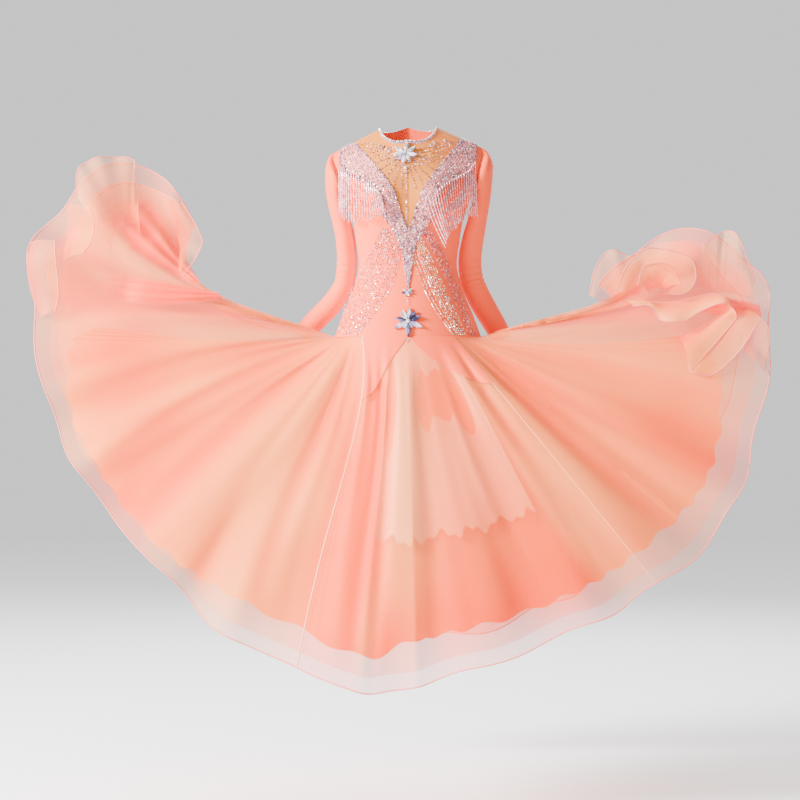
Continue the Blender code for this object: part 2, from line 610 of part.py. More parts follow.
class Net:
    """Points and triangles of one layer of cloth, each triangle with its piece's name."""

    def __init__(self):
        self.points, self.faces, self.labels = [], [], []
        self.lookup = {}

    def index(self, point):
        cell = np.round(np.asarray(point) / 1e-4).astype(int)
        for step in np.ndindex(3, 3, 3):
            for found in self.lookup.get(tuple(cell + step - 1), ()):
                if np.linalg.norm(self.points[found] - point) < 3e-5:
                    return found
        self.lookup.setdefault(tuple(cell), []).append(len(self.points))
        self.points.append(np.asarray(point, float))
        return len(self.points) - 1

    def add(self, grid, label, flip=False, closed=False):
        """Adds a grid. Seen from outside, rows go up and columns go right, or flip turns it round."""
        ids = np.array([[self.index(p) for p in row] for row in grid])
        if closed:
            ids = np.concatenate([ids, ids[:, :1]], axis=1)
        for i in range(ids.shape[0] - 1):
            for j in range(ids.shape[1] - 1):
                face = [ids[i, j], ids[i, j + 1], ids[i + 1, j + 1], ids[i + 1, j]]
                face = face[::-1] if flip else face
                p = [self.points[v] for v in face]
                # Both sides of a wall must fold along the same diagonal, so it is chosen here.
                if np.linalg.norm(p[0] - p[2]) > np.linalg.norm(p[1] - p[3]):
                    face = face[1:] + face[:1]
                for part in (face[:3], [face[0]] + face[2:]):
                    if len(set(part)) == 3:
                        self.faces.append(part)
                        self.labels.append(label)
        return ids

    def normals(self):
        points = np.array(self.points)
        total = np.zeros_like(points)
        for face in self.faces:
            p = points[face]
            across = unit(np.cross(p[1] - p[0], p[2] - p[0]))
            for k, v in enumerate(face):
                along, back = unit(p[k - 2] - p[k]), unit(p[k - 1] - p[k])
                total[v] += across * math.acos(np.clip(along @ back, -1, 1))
        return unit(total)


def parted(points, faces):
    """Moves each point of the outline a little into the piece, so that seams stay apart."""
    uses = {}
    for face in faces:
        for a, b in zip(face, face[1:] + face[:1]):
            uses.setdefault(frozenset((a, b)), []).append((a, b, face))
    inward = {}
    for pairs in uses.values():
        if len(pairs) > 1:
            continue
        a, b, face = pairs[0]
        along = unit(points[b] - points[a])
        to_middle = points[face].mean(axis=0) - points[a]
        into = unit(to_middle - along * (to_middle @ along))
        for v in (a, b):
            inward.setdefault(v, []).append(into)
    moved = points.copy()
    half_gap = np.where(np.abs(points[:, 2] - HIP_Z) < 1e-6, HIP_HALF_GAP, SEAM_HALF_GAP)
    for v, directions in inward.items():
        total = np.sum(directions, axis=0)
        length = np.linalg.norm(total)
        if length > 1e-6:
            # At a corner the two edges each need the whole gap.
            reach = half_gap[v] * len(directions) / max(length, 0.6)
            moved[v] = points[v] + total / length * min(reach, 2.0 * half_gap[v])
    return moved


def wall_mesh(name, points, faces, normals, thickness):
    """A closed wall: the cloth's two sides, half a thickness each way, and a rim round its edge."""
    count = len(points)
    outer = points + normals * thickness / 2
    inner = points - normals * thickness / 2
    solid = [tuple(f) for f in faces] + [tuple(count + v for v in reversed(f)) for f in faces]
    edges = {}
    for face in faces:
        for a, b in zip(face, face[1:] + face[:1]):
            if (b, a) in edges:
                del edges[(b, a)]
            else:
                edges[(a, b)] = True
    solid += [(b, a, count + a, count + b) for a, b in edges]
    mesh = bpy.data.meshes.new(name)
    mesh.from_pydata(np.concatenate([outer, inner]).tolist(), [], solid)
    mesh.validate()
    mesh.shade_smooth()
    mesh.set_sharp_from_angle(angle=math.radians(50))
    return mesh


def material_for(finish):
    material = bpy.data.materials.get(finish.name)
    if material is None:
        material = bpy.data.materials.new(finish.name)
        material.use_nodes = True
        shader = material.node_tree.nodes["Principled BSDF"]
        shader.inputs["Base Color"].default_value = finish.colour
        shader.inputs["Roughness"].default_value = finish.roughness
        shader.inputs["Metallic"].default_value = finish.metallic
    return material


def place(name, mesh, finish, collection):
    obj = bpy.data.objects.new(name, mesh)
    mesh.materials.append(material_for(finish))
    collection.objects.link(obj)
    return obj


def cut_pieces(net, normals, settings, collection):
    """Makes one wall for each label of the net, with its thickness and finish."""
    points = np.array(net.points)
    for label, (thickness, finish) in settings.items():
        faces = [f for f, l in zip(net.faces, net.labels) if l == label]
        used = sorted({v for f in faces for v in f})
        local = {v: i for i, v in enumerate(used)}
        own = [[local[v] for v in f] for f in faces]
        place_points = parted(points[used], own)
        mesh = wall_mesh(label, place_points, own, normals[used], thickness)
        place(label, mesh, finish, collection)


def build_outer_net():
    """Bodice, yoke, sleeves and outer skirt in one net of shared points."""
    net = Net()
    for side in (-1, 1):
        net.add(front_half(side), "bodice_front", flip=side < 0)
        net.add(tail(side), "bodice_front", flip=side > 0)
        sections = SLEEVE_LEFT if side < 0 else SLEEVE_RIGHT
        name = "sleeve_left" if side < 0 else "sleeve_right"
        net.add(sleeve_rings(side, sections), name, flip=side < 0, closed=True)
    net.add(front_yoke(), "yoke_front")
    net.add(back_panel(), "bodice_back", flip=True)
    net.add(front_godet(), "skirt_front_godet")
    gores = [
        ("skirt_front_left", LEFT_SEAM, LEFT_CREST),
        ("skirt_side_left", LEFT_CREST, LEFT_BACK_SEAM),
        ("skirt_back_left", LEFT_BACK_SEAM, BACK_SEAM),
        ("skirt_back_right", BACK_SEAM, RIGHT_BACK_SEAM),
        ("skirt_side_right", RIGHT_BACK_SEAM, RIGHT_CREST),
        ("skirt_front_right", RIGHT_CREST, RIGHT_SEAM),
    ]
    for name, first, last in gores:
        net.add(gore(first, last), name)
    return net


def with_directions(net, normals, grid):
    """The grid with its directions beside its points, six numbers to a place."""
    ids = np.array([[net.index(p) for p in row] for row in grid])
    return np.concatenate([np.asarray(grid), normals[ids]], axis=-1)


def lay_on(name, grid, under, thickness, finish, flip, collection):
    """A piece that lies on the cloth below it: that cloth's own points moved out."""
    grid = np.asarray(grid)
    directions = unit(grid[..., 3:])
    lifted = grid[..., :3] + directions * (under / 2 + LAID_ON_GAP + thickness / 2)
    piece = Net()
    ids = piece.add(lifted, name, flip=flip)
    normals = np.zeros((len(piece.points), 3))
    normals[ids.ravel()] = directions.reshape(-1, 3)
    cut_pieces(piece, normals, {name: (thickness, finish)}, collection)


def band_grid(half):
    """The stoned band on one half of the front: a tip, a narrow row, then its full width."""
    tip = np.repeat(half[BAND_TIP_ROW][:1], BAND_COLUMNS + 1, axis=0)
    share = np.linspace(0, 1, BAND_COLUMNS + 1)[:, None]
    narrow = half[BAND_TIP_ROW + 1]
    narrow = narrow[0] + (narrow[1] - narrow[0]) * share
    return np.concatenate([[tip, narrow], half[BAND_FULL_ROW:, : BAND_COLUMNS + 1]])


def along(points, count):
    """The broken line through the points, cut into equal lengths."""
    steps = np.linalg.norm(np.diff(points[:, :3], axis=0), axis=1)
    length = np.concatenate([[0], np.cumsum(steps)])
    at = np.linspace(0, length[-1], count + 1)
    return np.stack([np.interp(at, length, points[:, k]) for k in range(points.shape[1])], -1)


def fringe_mesh(name, half, strand_ends):
    """A backing strip beside the band, with strands that grow out of every other part of its edge."""
    first, last = FRINGE_ROWS
    upper, lower = [], []
    for row in half[first : last + 1]:
        panel = row[BAND_COLUMNS:]
        reach = np.linalg.norm(panel[-1, :3] - panel[0, :3])
        width = min(FRINGE_STRIP_WIDTH, 0.6 * reach)
        edge = along(panel, 40)
        upper.append(edge[0])
        lower.append(edge[max(1, round(40 * width / reach))])
    count = 2 * FRINGE_STRANDS + 1
    upper, lower = along(np.array(upper), count), along(np.array(lower), count)
    # The strip keeps clear of the band's edge, as at a seam.
    upper = upper + (lower - upper) * 0.08
    lift = JERSEY / 2 + FRINGE_GAP
    rings = []
    top = lift + FRINGE_STRIP
    for edge, height in ((upper, lift), (upper, top), (lower, top), (lower, lift)):
        rings.append(edge[:, :3] + unit(edge[:, 3:]) * height)
    verts = np.concatenate(rings).tolist()
    n = count + 1
    faces = []
    for j in range(count):
        faces += [(j, j + 1, n + j + 1, n + j), (n + j, n + j + 1, 2 * n + j + 1, 2 * n + j)]
        faces += [(3 * n + j, 3 * n + j + 1, j + 1, j)]
        root = [2 * n + j, 2 * n + j + 1, 3 * n + j + 1, 3 * n + j]
        if j % 2:
            root, more = strand(verts, root, strand_ends)
            faces += more
        faces.append(tuple(root))
    faces += [(0, n, 2 * n, 3 * n), (n - 1, 2 * n - 1, 3 * n - 1, 4 * n - 1)]
    return closed_mesh(name, verts, faces)


def strand(verts, root, strand_ends):
    """Adds one strand below a root of four points, and gives its last section and its sides."""
    section = np.array([verts[v] for v in root])
    centre = section.mean(axis=0)
    keys = [row.across for row in strand_ends]
    end_z, swing = np.array(
        [np.interp(abs(centre[0]), keys, [row[k] for row in strand_ends]) for k in (1, 2)]
    )
    swing = math.radians(swing)
    length = max((centre[2] - end_z) / math.cos(swing), 0.02)
    faces = []
    for share in (0.12, 0.5, 1.0):
        x = centre[0] + math.sin(swing) * length * share
        z = centre[2] - math.cos(swing) * length * share
        y = min(centre[1] - 0.002, float(front_y(np.array(x), np.array(z))) - 0.0045)
        moved = np.array([x, y, z]) + (section - centre) * STRAND_SHARE
        start = len(verts)
        verts.extend(moved.tolist())
        ring = [start, start + 1, start + 2, start + 3]
        faces += [(root[k], root[k - 3], ring[k - 3], ring[k]) for k in range(4)]
        root = ring
    return root, faces


def closed_mesh(name, verts, faces):
    """A mesh from points and faces, with its faces turned outward."""
    mesh = bpy.data.meshes.new(name)
    mesh.from_pydata([tuple(v) for v in verts], [], faces)
    work = bmesh.new()
    work.from_mesh(mesh)
    bmesh.ops.remove_doubles(work, verts=work.verts, dist=1e-7)
    bmesh.ops.recalc_face_normals(work, faces=work.faces)
    work.to_mesh(mesh)
    work.free()
    mesh.shade_smooth()
    mesh.set_sharp_from_angle(angle=math.radians(35))
    return mesh


def motif_mesh(motif):
    """A raised motif with petals, domed from its rim to its middle, its back along the body form."""
    count = 4 * motif.petals
    angles = np.linspace(0, 2 * math.pi, count, endpoint=False) - math.pi / 2
    lobes = motif.waist + (1 - motif.waist) * np.abs(np.cos(motif.petals * (angles + math.pi / 2) / 2))
    from_bottom = np.abs(np.angle(np.exp(1j * (angles + math.pi / 2))))
    outline = motif.radius * lobes + motif.drop * np.exp(-((from_bottom / 0.16) ** 2))
    sides = []
    for front in (0, 1):
        rings = []
        for share, rise in ((0.35, 1.0), (0.75, 0.8), (1.0, 0.35)):
            x = motif.x + outline * share * np.cos(angles)
            z = motif.z + outline * share * np.sin(angles)
            y = front_y(x, np.maximum(z, HIP_Z)) - 0.5 * np.maximum(HIP_Z - z, 0)
            y = y - motif.gap - front * motif.thickness * rise
            rings.append(np.stack([x, y, z], axis=-1))
        sides.append(rings)
    verts = np.concatenate(sides[0] + sides[1]).tolist()
    faces = []
    for j in range(count):
        k = (j + 1) % count
        for ring in (0, 1, 3, 4):
            a = ring * count
            faces.append((a + j, a + k, a + count + k, a + count + j))
        faces.append((2 * count + j, 2 * count + k, 5 * count + k, 5 * count + j))
    faces += [tuple(range(count)), tuple(range(3 * count, 4 * count))]
    return closed_mesh(motif.name, verts, faces)


SIDES = {"left": (LEFT_SEAM, LEFT_CREST), "right": (RIGHT_CREST, RIGHT_SEAM)}


def flounce_grid(net, normals, flounce):
    """A flounce: its root on one row of the skirt, its free edge lifted off the skirt and waved."""
    ends = [flounce.first_turn, flounce.last_turn]
    gore_turns = SIDES[flounce.name.split("_")[1]]
    columns = hem_turns(*gore_turns, HEM_STEP)
    columns = columns[(columns > ends[0]) & (columns < ends[1])]
    roots = with_directions(net, normals, [skirt_point(columns, SKIRT_ROWS[flounce.row])])[0]
    middle = (roots[1:] + roots[:-1]) / 2
    turns = np.sort(np.concatenate([columns, (columns[1:] + columns[:-1]) / 2]))
    line = np.zeros((len(turns), 6))
    line[0::2], line[1::2] = roots, middle
    line[:, 3:] = unit(line[:, 3:])
    hem = skirt_point(turns, 1.0)
    down = unit(hem - skirt_point(turns, SKIRT_ROWS[flounce.row]))
    wave = np.sin(2 * math.pi * np.arange(len(turns)) / 6)
    taper = np.sin(math.pi * np.linspace(0.06, 0.94, len(turns))) ** 0.5
    rows = []
    for share in (0.0, 0.3, 0.65, 1.0):
        lift = taper * (flounce.lift * share**0.8 + flounce.ruffle * share * wave)
        out = flounce.depth * share * taper
        point = line[:, :3] + down * out[:, None] + line[:, 3:] * lift[:, None]
        rows.append(np.concatenate([point, line[:, 3:]], axis=-1))
    return np.array(rows)


def turn_of(points):
    """Place round the hip of points on the hip seam, found along its straight sides."""
    fine = np.linspace(0, 1, 4001)
    around = hip_point(fine)
    distance = np.linalg.norm(points[:, None, :2] - around[None, :, :2], axis=2)
    return fine[np.argmin(distance, axis=1)]


def hip_directions(net, normals):
    """Directions on the hip seam: halfway from bodice to skirt at the corners, even between them."""
    near, beside = skirt_point(HIP_TURNS, 0.03), skirt_point(HIP_TURNS + 0.002, 0.03)
    below = skirt_point(HIP_TURNS, 0.05)
    skirt = unit(np.cross(beside - near, below - near))
    hip = BODY_FORM[0]
    level = unit(HIP_POINTS[:, :2] / np.array([hip.half_width, hip.front]) ** 2)
    corner = unit(np.concatenate([level, 0 * level[:, :1]], axis=1) + 0.8 * skirt)
    points = np.array(net.points)
    seam = np.flatnonzero(np.abs(points[:, 2] - HIP_Z) < 1e-6)
    turn = turn_of(points[seam])
    for axis in range(3):
        normals[seam, axis] = np.interp(turn, HIP_TURNS, corner[:, axis])
    return normals


def main():
    clear_scene()
    dress = bpy.data.collections.new("Ballroom dress")
    bpy.context.scene.collection.children.link(dress)
    net = build_outer_net()
    normals = hip_directions(net, net.normals())
    organza = (ORGANZA, PEACH_ORGANZA)
    settings = {
        "bodice_front": (JERSEY, CORAL_JERSEY),
        "bodice_back": (JERSEY, CORAL_JERSEY),
        "sleeve_left": (JERSEY, CORAL_JERSEY),
        "sleeve_right": (JERSEY, CORAL_JERSEY),
        "yoke_front": (NET, NUDE_NET),
        "skirt_front_godet": organza,
        "skirt_front_left": organza,
        "skirt_side_left": organza,
        "skirt_back_left": organza,
        "skirt_back_right": organza,
        "skirt_side_right": organza,
        "skirt_front_right": organza,
    }
    cut_pieces(net, normals, settings, dress)

    lining = Net()
    lining.add(lining_grid(), "lining_skirt", closed=True)
    cut_pieces(lining, lining.normals(), {"lining_skirt": (ORGANZA, PEACH_LINING)}, dress)

    for side, name, ends in ((-1, "left", STRANDS_LEFT), (1, "right", STRANDS_RIGHT)):
        half = with_directions(net, normals, front_half(side))
        band = band_grid(half)
        lay_on("band_" + name, band, JERSEY, TRIM, STONED_BAND, side < 0, dress)
        place("fringe_" + name, fringe_mesh("fringe_" + name, half, ends), BEADS, dress)

    yoke = with_directions(net, normals, front_yoke())
    neck = slice(1, -1)
    lay_on("neck_trim_front", yoke[-2:, neck], NET, NECK_TRIM, CRYSTAL, False, dress)
    back = with_directions(net, normals, back_panel())
    middle = back.shape[1] // 2
    neck = slice(middle - NECK_COLUMNS, middle + NECK_COLUMNS + 1)
    lay_on("neck_trim_back", back[-2:, neck], JERSEY, NECK_TRIM, CRYSTAL, True, dress)

    for motif in MOTIFS:
        place(motif.name, motif_mesh(motif), CRYSTAL, dress)
    for flounce in FLOUNCES:
        grid = flounce_grid(net, normals, flounce)
        lay_on(flounce.name, grid, ORGANZA, ORGANZA, PEACH_ORGANZA, False, dress)


main()
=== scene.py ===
# %% [markdown]
# # A ballroom dance dress
#
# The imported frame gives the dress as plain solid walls. This notebook dresses it: each panel of
# cloth is worked out again as a fine surface, from the same sizes, and gets its stitching, stones,
# beads and cloth materials. All lengths are metres. The dress faces -Y and +Z is up.


# %% Load the frame
import math
from collections import namedtuple

import bpy
import numpy as np
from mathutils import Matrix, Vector


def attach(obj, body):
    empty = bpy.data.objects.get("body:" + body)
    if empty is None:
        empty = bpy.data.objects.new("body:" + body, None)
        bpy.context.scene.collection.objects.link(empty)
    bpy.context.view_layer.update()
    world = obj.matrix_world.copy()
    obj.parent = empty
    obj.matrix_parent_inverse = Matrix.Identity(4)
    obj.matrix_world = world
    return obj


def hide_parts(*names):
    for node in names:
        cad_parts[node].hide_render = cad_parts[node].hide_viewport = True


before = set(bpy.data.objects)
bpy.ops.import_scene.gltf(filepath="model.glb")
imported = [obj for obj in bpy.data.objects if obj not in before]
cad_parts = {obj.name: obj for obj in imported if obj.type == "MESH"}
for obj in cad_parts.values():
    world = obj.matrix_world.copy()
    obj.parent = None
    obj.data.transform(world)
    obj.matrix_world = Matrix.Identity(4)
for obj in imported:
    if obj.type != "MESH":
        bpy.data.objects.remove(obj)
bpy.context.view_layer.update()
print("solids in the frame:", len(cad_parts))


# %% [markdown]
# ## Sizes of the body form
#
# A dress form is a stack of ovals. Each level has a half width and two depths, because the chest
# is deeper than the back. *Rise* is a handy height on it: 0 at the hip seam, 1 at the armpit and
# 2 on the shoulder seam.


# %% Body form sizes
HIP_Z, ARMPIT_Z = -0.455, -0.115
NECK_HALF_WIDTH, NECK_Z = 0.067, 0.048
SHOULDER_HALF_WIDTH, SHOULDER_SLOPE, SHOULDER_TILT = 0.175, 0.49, 0.035
NECKLINE_DROP_FRONT, NECKLINE_DROP_BACK = 0.352, 0.13
ARMHOLE_SCOOP = math.radians(25)
BUST_X, BUST_Z, BUST_DEPTH = 0.070, -0.125, 0.020
BUST_SPREAD_X, BUST_SPREAD_Z = 0.045, 0.055

Level = namedtuple("Level", "height half_width front back")
BODY_FORM = [
    Level(HIP_Z, 0.176, 0.118, 0.130),
    Level(-0.400, 0.156, 0.106, 0.118),
    Level(-0.345, 0.133, 0.094, 0.096),
    Level(-0.280, 0.1175, 0.084, 0.078),
    Level(-0.225, 0.124, 0.092, 0.082),
    Level(-0.180, 0.131, 0.100, 0.088),
    Level(ARMPIT_Z, 0.152, 0.104, 0.096),
]
LEFT_SEAM, LEFT_CREST, LEFT_BACK_SEAM, BACK_SEAM = 0.105, 0.25, 0.375, 0.5
RIGHT_BACK_SEAM, RIGHT_CREST, RIGHT_SEAM = 0.625, 0.75, 1 - LEFT_SEAM

V_BOTTOM_RISE = 0.72
CutLine = namedtuple("CutLine", "rise vee_x band_x")
FRONT_CUTS = [
    CutLine(0.00, 0.000, BODY_FORM[0].half_width * math.sin(2 * math.pi * LEFT_SEAM)),
    CutLine(0.35, 0.000, 0.058),
    CutLine(0.63, 0.000, 0.016),
    CutLine(0.72, 0.000, 0.032),
    CutLine(0.81, 0.011, 0.053),
    CutLine(0.94, 0.026, 0.070),
    CutLine(1.16, 0.050, 0.101),
    CutLine(1.33, 0.068, 0.136),
    CutLine(1.54, 0.090, 0.155),
    CutLine(2.00, 0.131, 0.163),
]
print("levels of the form:", len(BODY_FORM))


# %% [markdown]
# ## A smooth curve through a table
#
# Every shape here starts as a short table of rows. A cubic runs between two rows, and its slopes
# come from the rows on each side, so the curve passes through all of them without corners.


# %% Interpolation helpers
def unit(vectors):
    """Each vector divided by its own length."""
    length = np.linalg.norm(vectors, axis=-1, keepdims=True)
    return vectors / np.maximum(length, 1e-12)


def smooth(keys, values, at, period=None):
    """Table values at any place: start*(2s^3-3s^2+1) and so on, the cubic with given end slopes."""
    keys = np.asarray(keys, float)
    values = np.asarray(values, float).reshape(len(keys), -1)
    if period:
        keys = np.concatenate([keys[-2:] - period, keys, keys[:2] + period])
        values = np.concatenate([values[-2:], values, values[:2]])
        at = np.mod(at, period)
    at = np.asarray(at, float)
    slopes = np.gradient(values, keys, axis=0)
    i = np.clip(np.searchsorted(keys, at, side="right") - 1, 0, len(keys) - 2)
    step = (keys[i + 1] - keys[i])[..., None]
    s = (at - keys[i])[..., None] / step
    ends = values[i] * (2 * s**3 - 3 * s**2 + 1) + values[i + 1] * (3 * s**2 - 2 * s**3)
    return ends + slopes[i] * step * (s**3 - 2 * s**2 + s) + slopes[i + 1] * step * (s**3 - s**2)


def ease(x):
    """0 to 1 with a gentle start and end: 3x^2 - 2x^3."""
    x = np.clip(x, 0, 1)
    return x * x * (3 - 2 * x)


# %% [markdown]
# ## The body form as a surface
#
# Below the armpit a point is (width * sin a, -depth * cos a). Above it the oval closes towards
# the shoulder seam like a roof, and two small bumps give the bust.


# %% Body surface
def shoulder_height(x):
    """The shoulder seam is a straight slope on each side, a little higher at +X."""
    return NECK_Z - SHOULDER_SLOPE * (np.abs(x) - NECK_HALF_WIDTH) + SHOULDER_TILT * x


def lower_form(rise):
    """Height, and half width, front depth and back depth, below the armpit."""
    height = HIP_Z + np.clip(rise, 0, 1) * (ARMPIT_Z - HIP_Z)
    return height, smooth([v.height for v in BODY_FORM], [v[1:] for v in BODY_FORM], height)


def form_half_width(rise):
    """Half width at any rise; above the armpit it swells out and ends at the shoulder point."""
    w = np.clip(rise - 1, 0, 1)
    armpit = BODY_FORM[-1].half_width
    upper = armpit + (SHOULDER_HALF_WIDTH - armpit) * w + 0.022 * np.sin(np.pi * w)
    return np.where(rise > 1, upper, lower_form(rise)[1][..., 0])


def body_point(angle, rise, front=True):
    """Point at an angle from the centre line towards +X, on the front or on the back."""
    angle, rise = np.broadcast_arrays(np.asarray(angle, float), np.asarray(rise, float))
    w = np.clip(rise - 1, 0, 1)
    x = form_half_width(rise) * np.sin(angle)
    level_z, form = lower_form(rise)
    z = np.where(rise > 1, ARMPIT_Z + w * (shoulder_height(x) - ARMPIT_Z), level_z)
    if front:
        bump = BUST_DEPTH * np.exp(-(((np.abs(x) - BUST_X) / BUST_SPREAD_X) ** 2))
        bump = bump * np.exp(-(((z - BUST_Z) / BUST_SPREAD_Z) ** 2))
        y = -form[..., 1] * np.maximum(1 - w**1.5, 0) ** 0.75 * np.cos(angle)
        y = y - bump * np.sqrt(np.maximum(np.cos(angle), 0)) * np.maximum(1 - w**2, 0)
    else:
        y = form[..., 2] * np.sqrt(np.maximum(1 - w**2, 0)) * np.cos(angle)
    return np.stack([x, y, z], axis=-1)


def front_y(x, z):
    """Y of the front of the form at a place of the front view."""
    low = (z - HIP_Z) / (ARMPIT_Z - HIP_Z)
    high = 1 + (z - ARMPIT_Z) / (shoulder_height(x) - ARMPIT_Z)
    rise = np.where(z < ARMPIT_Z, low, high)
    return body_point(np.arcsin(np.clip(x / form_half_width(rise), -1, 1)), rise)[..., 1]


def side_angle(rise):
    """The side seam at 90 degrees, and above the armpit the scooped edge of the armhole."""
    w = np.clip(np.asarray(rise, float) - 1, 0, 1)
    return math.pi / 2 - ARMHOLE_SCOOP * np.sin(np.pi * w)


def cut_angle(rise, column):
    """Angle of the V edge (column 1) or the band's outer edge (column 2)."""
    cut = smooth([c.rise for c in FRONT_CUTS], [c[column] for c in FRONT_CUTS], rise)[..., 0]
    return np.arcsin(np.clip(np.maximum(cut, 0) / form_half_width(rise), 0, 1))


def neckline_drop(x, deepest):
    """How far in rise the neckline lies under the shoulder seam at x."""
    inside = np.clip(np.abs(x) / NECK_HALF_WIDTH, 0, 1)
    return deepest * (1 - inside**2) ** 0.6


waist = BODY_FORM[3]
waist_depth = (waist.front + waist.back) / 2
waist_round = 2 * math.pi * math.sqrt((waist.half_width**2 + waist_depth**2) / 2)
print("waist round:", round(waist_round, 3), "m")


# %% [markdown]
# ## The skirt as a surface
#
# Each meridian of the skirt runs from the hip to the hem as one cubic curve with two pulls. Where
# the skirt is gathered into a wing, both pulls move to the wing's shoulder and neck. Waves grow
# towards the hem, and their phase follows the length along the hem.


# %% Skirt tables
Meridian = namedtuple("Meridian", "turn hem_x hem_y hem_z gather billow sag ruffle")
SKIRT = [
    Meridian(0.000, 0.02, -0.36, -1.240, 0.00, 0.05, 0.00, 0.012),
    Meridian(0.105, -0.25, -0.34, -1.200, 0.00, 0.04, 0.00, 0.014),
    Meridian(0.130, -0.42, -0.30, -1.129, 0.00, 0.04, 0.00, 0.014),
    Meridian(0.150, -0.60, -0.25, -0.953, 0.05, 0.04, 0.00, 0.014),
    Meridian(0.168, -0.75, -0.19, -0.787, 0.12, 0.04, 0.00, 0.014),
    Meridian(0.184, -0.845, -0.14, -0.592, 0.30, 0.03, 0.00, 0.014),
    Meridian(0.198, -0.878, -0.10, -0.420, 0.60, 0.01, 0.00, 0.022),
    Meridian(0.210, -0.895, -0.08, -0.280, 0.90, 0.00, 0.00, 0.032),
    Meridian(0.221, -0.820, -0.07, -0.140, 1.00, 0.00, 0.00, 0.036),
    Meridian(0.232, -0.690, -0.06, -0.055, 1.00, 0.00, 0.00, 0.036),
    Meridian(0.241, -0.575, -0.05, -0.075, 1.00, 0.00, 0.00, 0.032),
    Meridian(0.250, -0.510, -0.02, -0.190, 1.00, 0.00, 0.00, 0.026),
    Meridian(0.259, -0.570, 0.02, -0.110, 1.00, 0.00, 0.02, 0.030),
    Meridian(0.268, -0.680, 0.03, -0.090, 0.90, 0.00, 0.06, 0.034),
    Meridian(0.279, -0.800, 0.04, -0.170, 0.70, 0.00, 0.10, 0.034),
    Meridian(0.292, -0.865, 0.06, -0.310, 0.40, 0.00, 0.13, 0.030),
    Meridian(0.310, -0.835, 0.12, -0.520, 0.10, 0.02, 0.14, 0.024),
    Meridian(0.335, -0.755, 0.20, -0.760, 0.00, 0.04, 0.10, 0.022),
    Meridian(0.375, -0.580, 0.31, -0.985, 0.00, 0.05, 0.04, 0.024),
    Meridian(0.430, -0.300, 0.39, -1.165, 0.00, 0.05, 0.00, 0.026),
    Meridian(0.500, 0.000, 0.43, -1.225, 0.00, 0.05, 0.00, 0.026),
    Meridian(0.570, 0.300, 0.40, -1.165, 0.00, 0.05, 0.00, 0.026),
    Meridian(0.625, 0.560, 0.32, -1.000, 0.00, 0.05, 0.04, 0.024),
    Meridian(0.665, 0.720, 0.21, -0.790, 0.00, 0.04, 0.10, 0.022),
    Meridian(0.690, 0.790, 0.13, -0.580, 0.10, 0.02, 0.14, 0.024),
    Meridian(0.708, 0.820, 0.07, -0.420, 0.40, 0.00, 0.13, 0.030),
    Meridian(0.721, 0.760, 0.04, -0.290, 0.70, 0.00, 0.10, 0.032),
    Meridian(0.732, 0.650, 0.03, -0.235, 0.90, 0.00, 0.06, 0.032),
    Meridian(0.741, 0.535, 0.02, -0.255, 1.00, 0.00, 0.02, 0.028),
    Meridian(0.750, 0.455, -0.02, -0.330, 1.00, 0.00, 0.00, 0.022),
    Meridian(0.760, 0.520, -0.05, -0.262, 1.00, 0.00, 0.00, 0.030),
    Meridian(0.772, 0.640, -0.07, -0.212, 1.00, 0.00, 0.00, 0.036),
    Meridian(0.785, 0.775, -0.08, -0.240, 1.00, 0.00, 0.00, 0.036),
    Meridian(0.798, 0.850, -0.09, -0.375, 0.85, 0.00, 0.00, 0.030),
    Meridian(0.814, 0.848, -0.11, -0.500, 0.55, 0.01, 0.00, 0.020),
    Meridian(0.832, 0.820, -0.13, -0.640, 0.28, 0.03, 0.00, 0.014),
    Meridian(0.852, 0.785, -0.16, -0.778, 0.10, 0.04, 0.00, 0.014),
    Meridian(0.873, 0.700, -0.20, -0.924, 0.03, 0.04, 0.00, 0.014),
    Meridian(0.895, 0.565, -0.26, -1.024, 0.00, 0.04, 0.00, 0.014),
    Meridian(0.950, 0.280, -0.33, -1.161, 0.00, 0.05, 0.00, 0.013),
]
WING_NECK = {"left": (-0.600, -0.385), "right": (0.575, -0.405)}
WING_SHOULDER = {"left": (-0.340, -0.395), "right": (0.320, -0.405)}
TAIL_DOWN = 0.20
WAVES_A_QUARTER = 8
CALM_PHASE = 1.6 * math.pi
SEAM_PULL, SEAM_PULL_SPREAD = 0.0285, 0.05
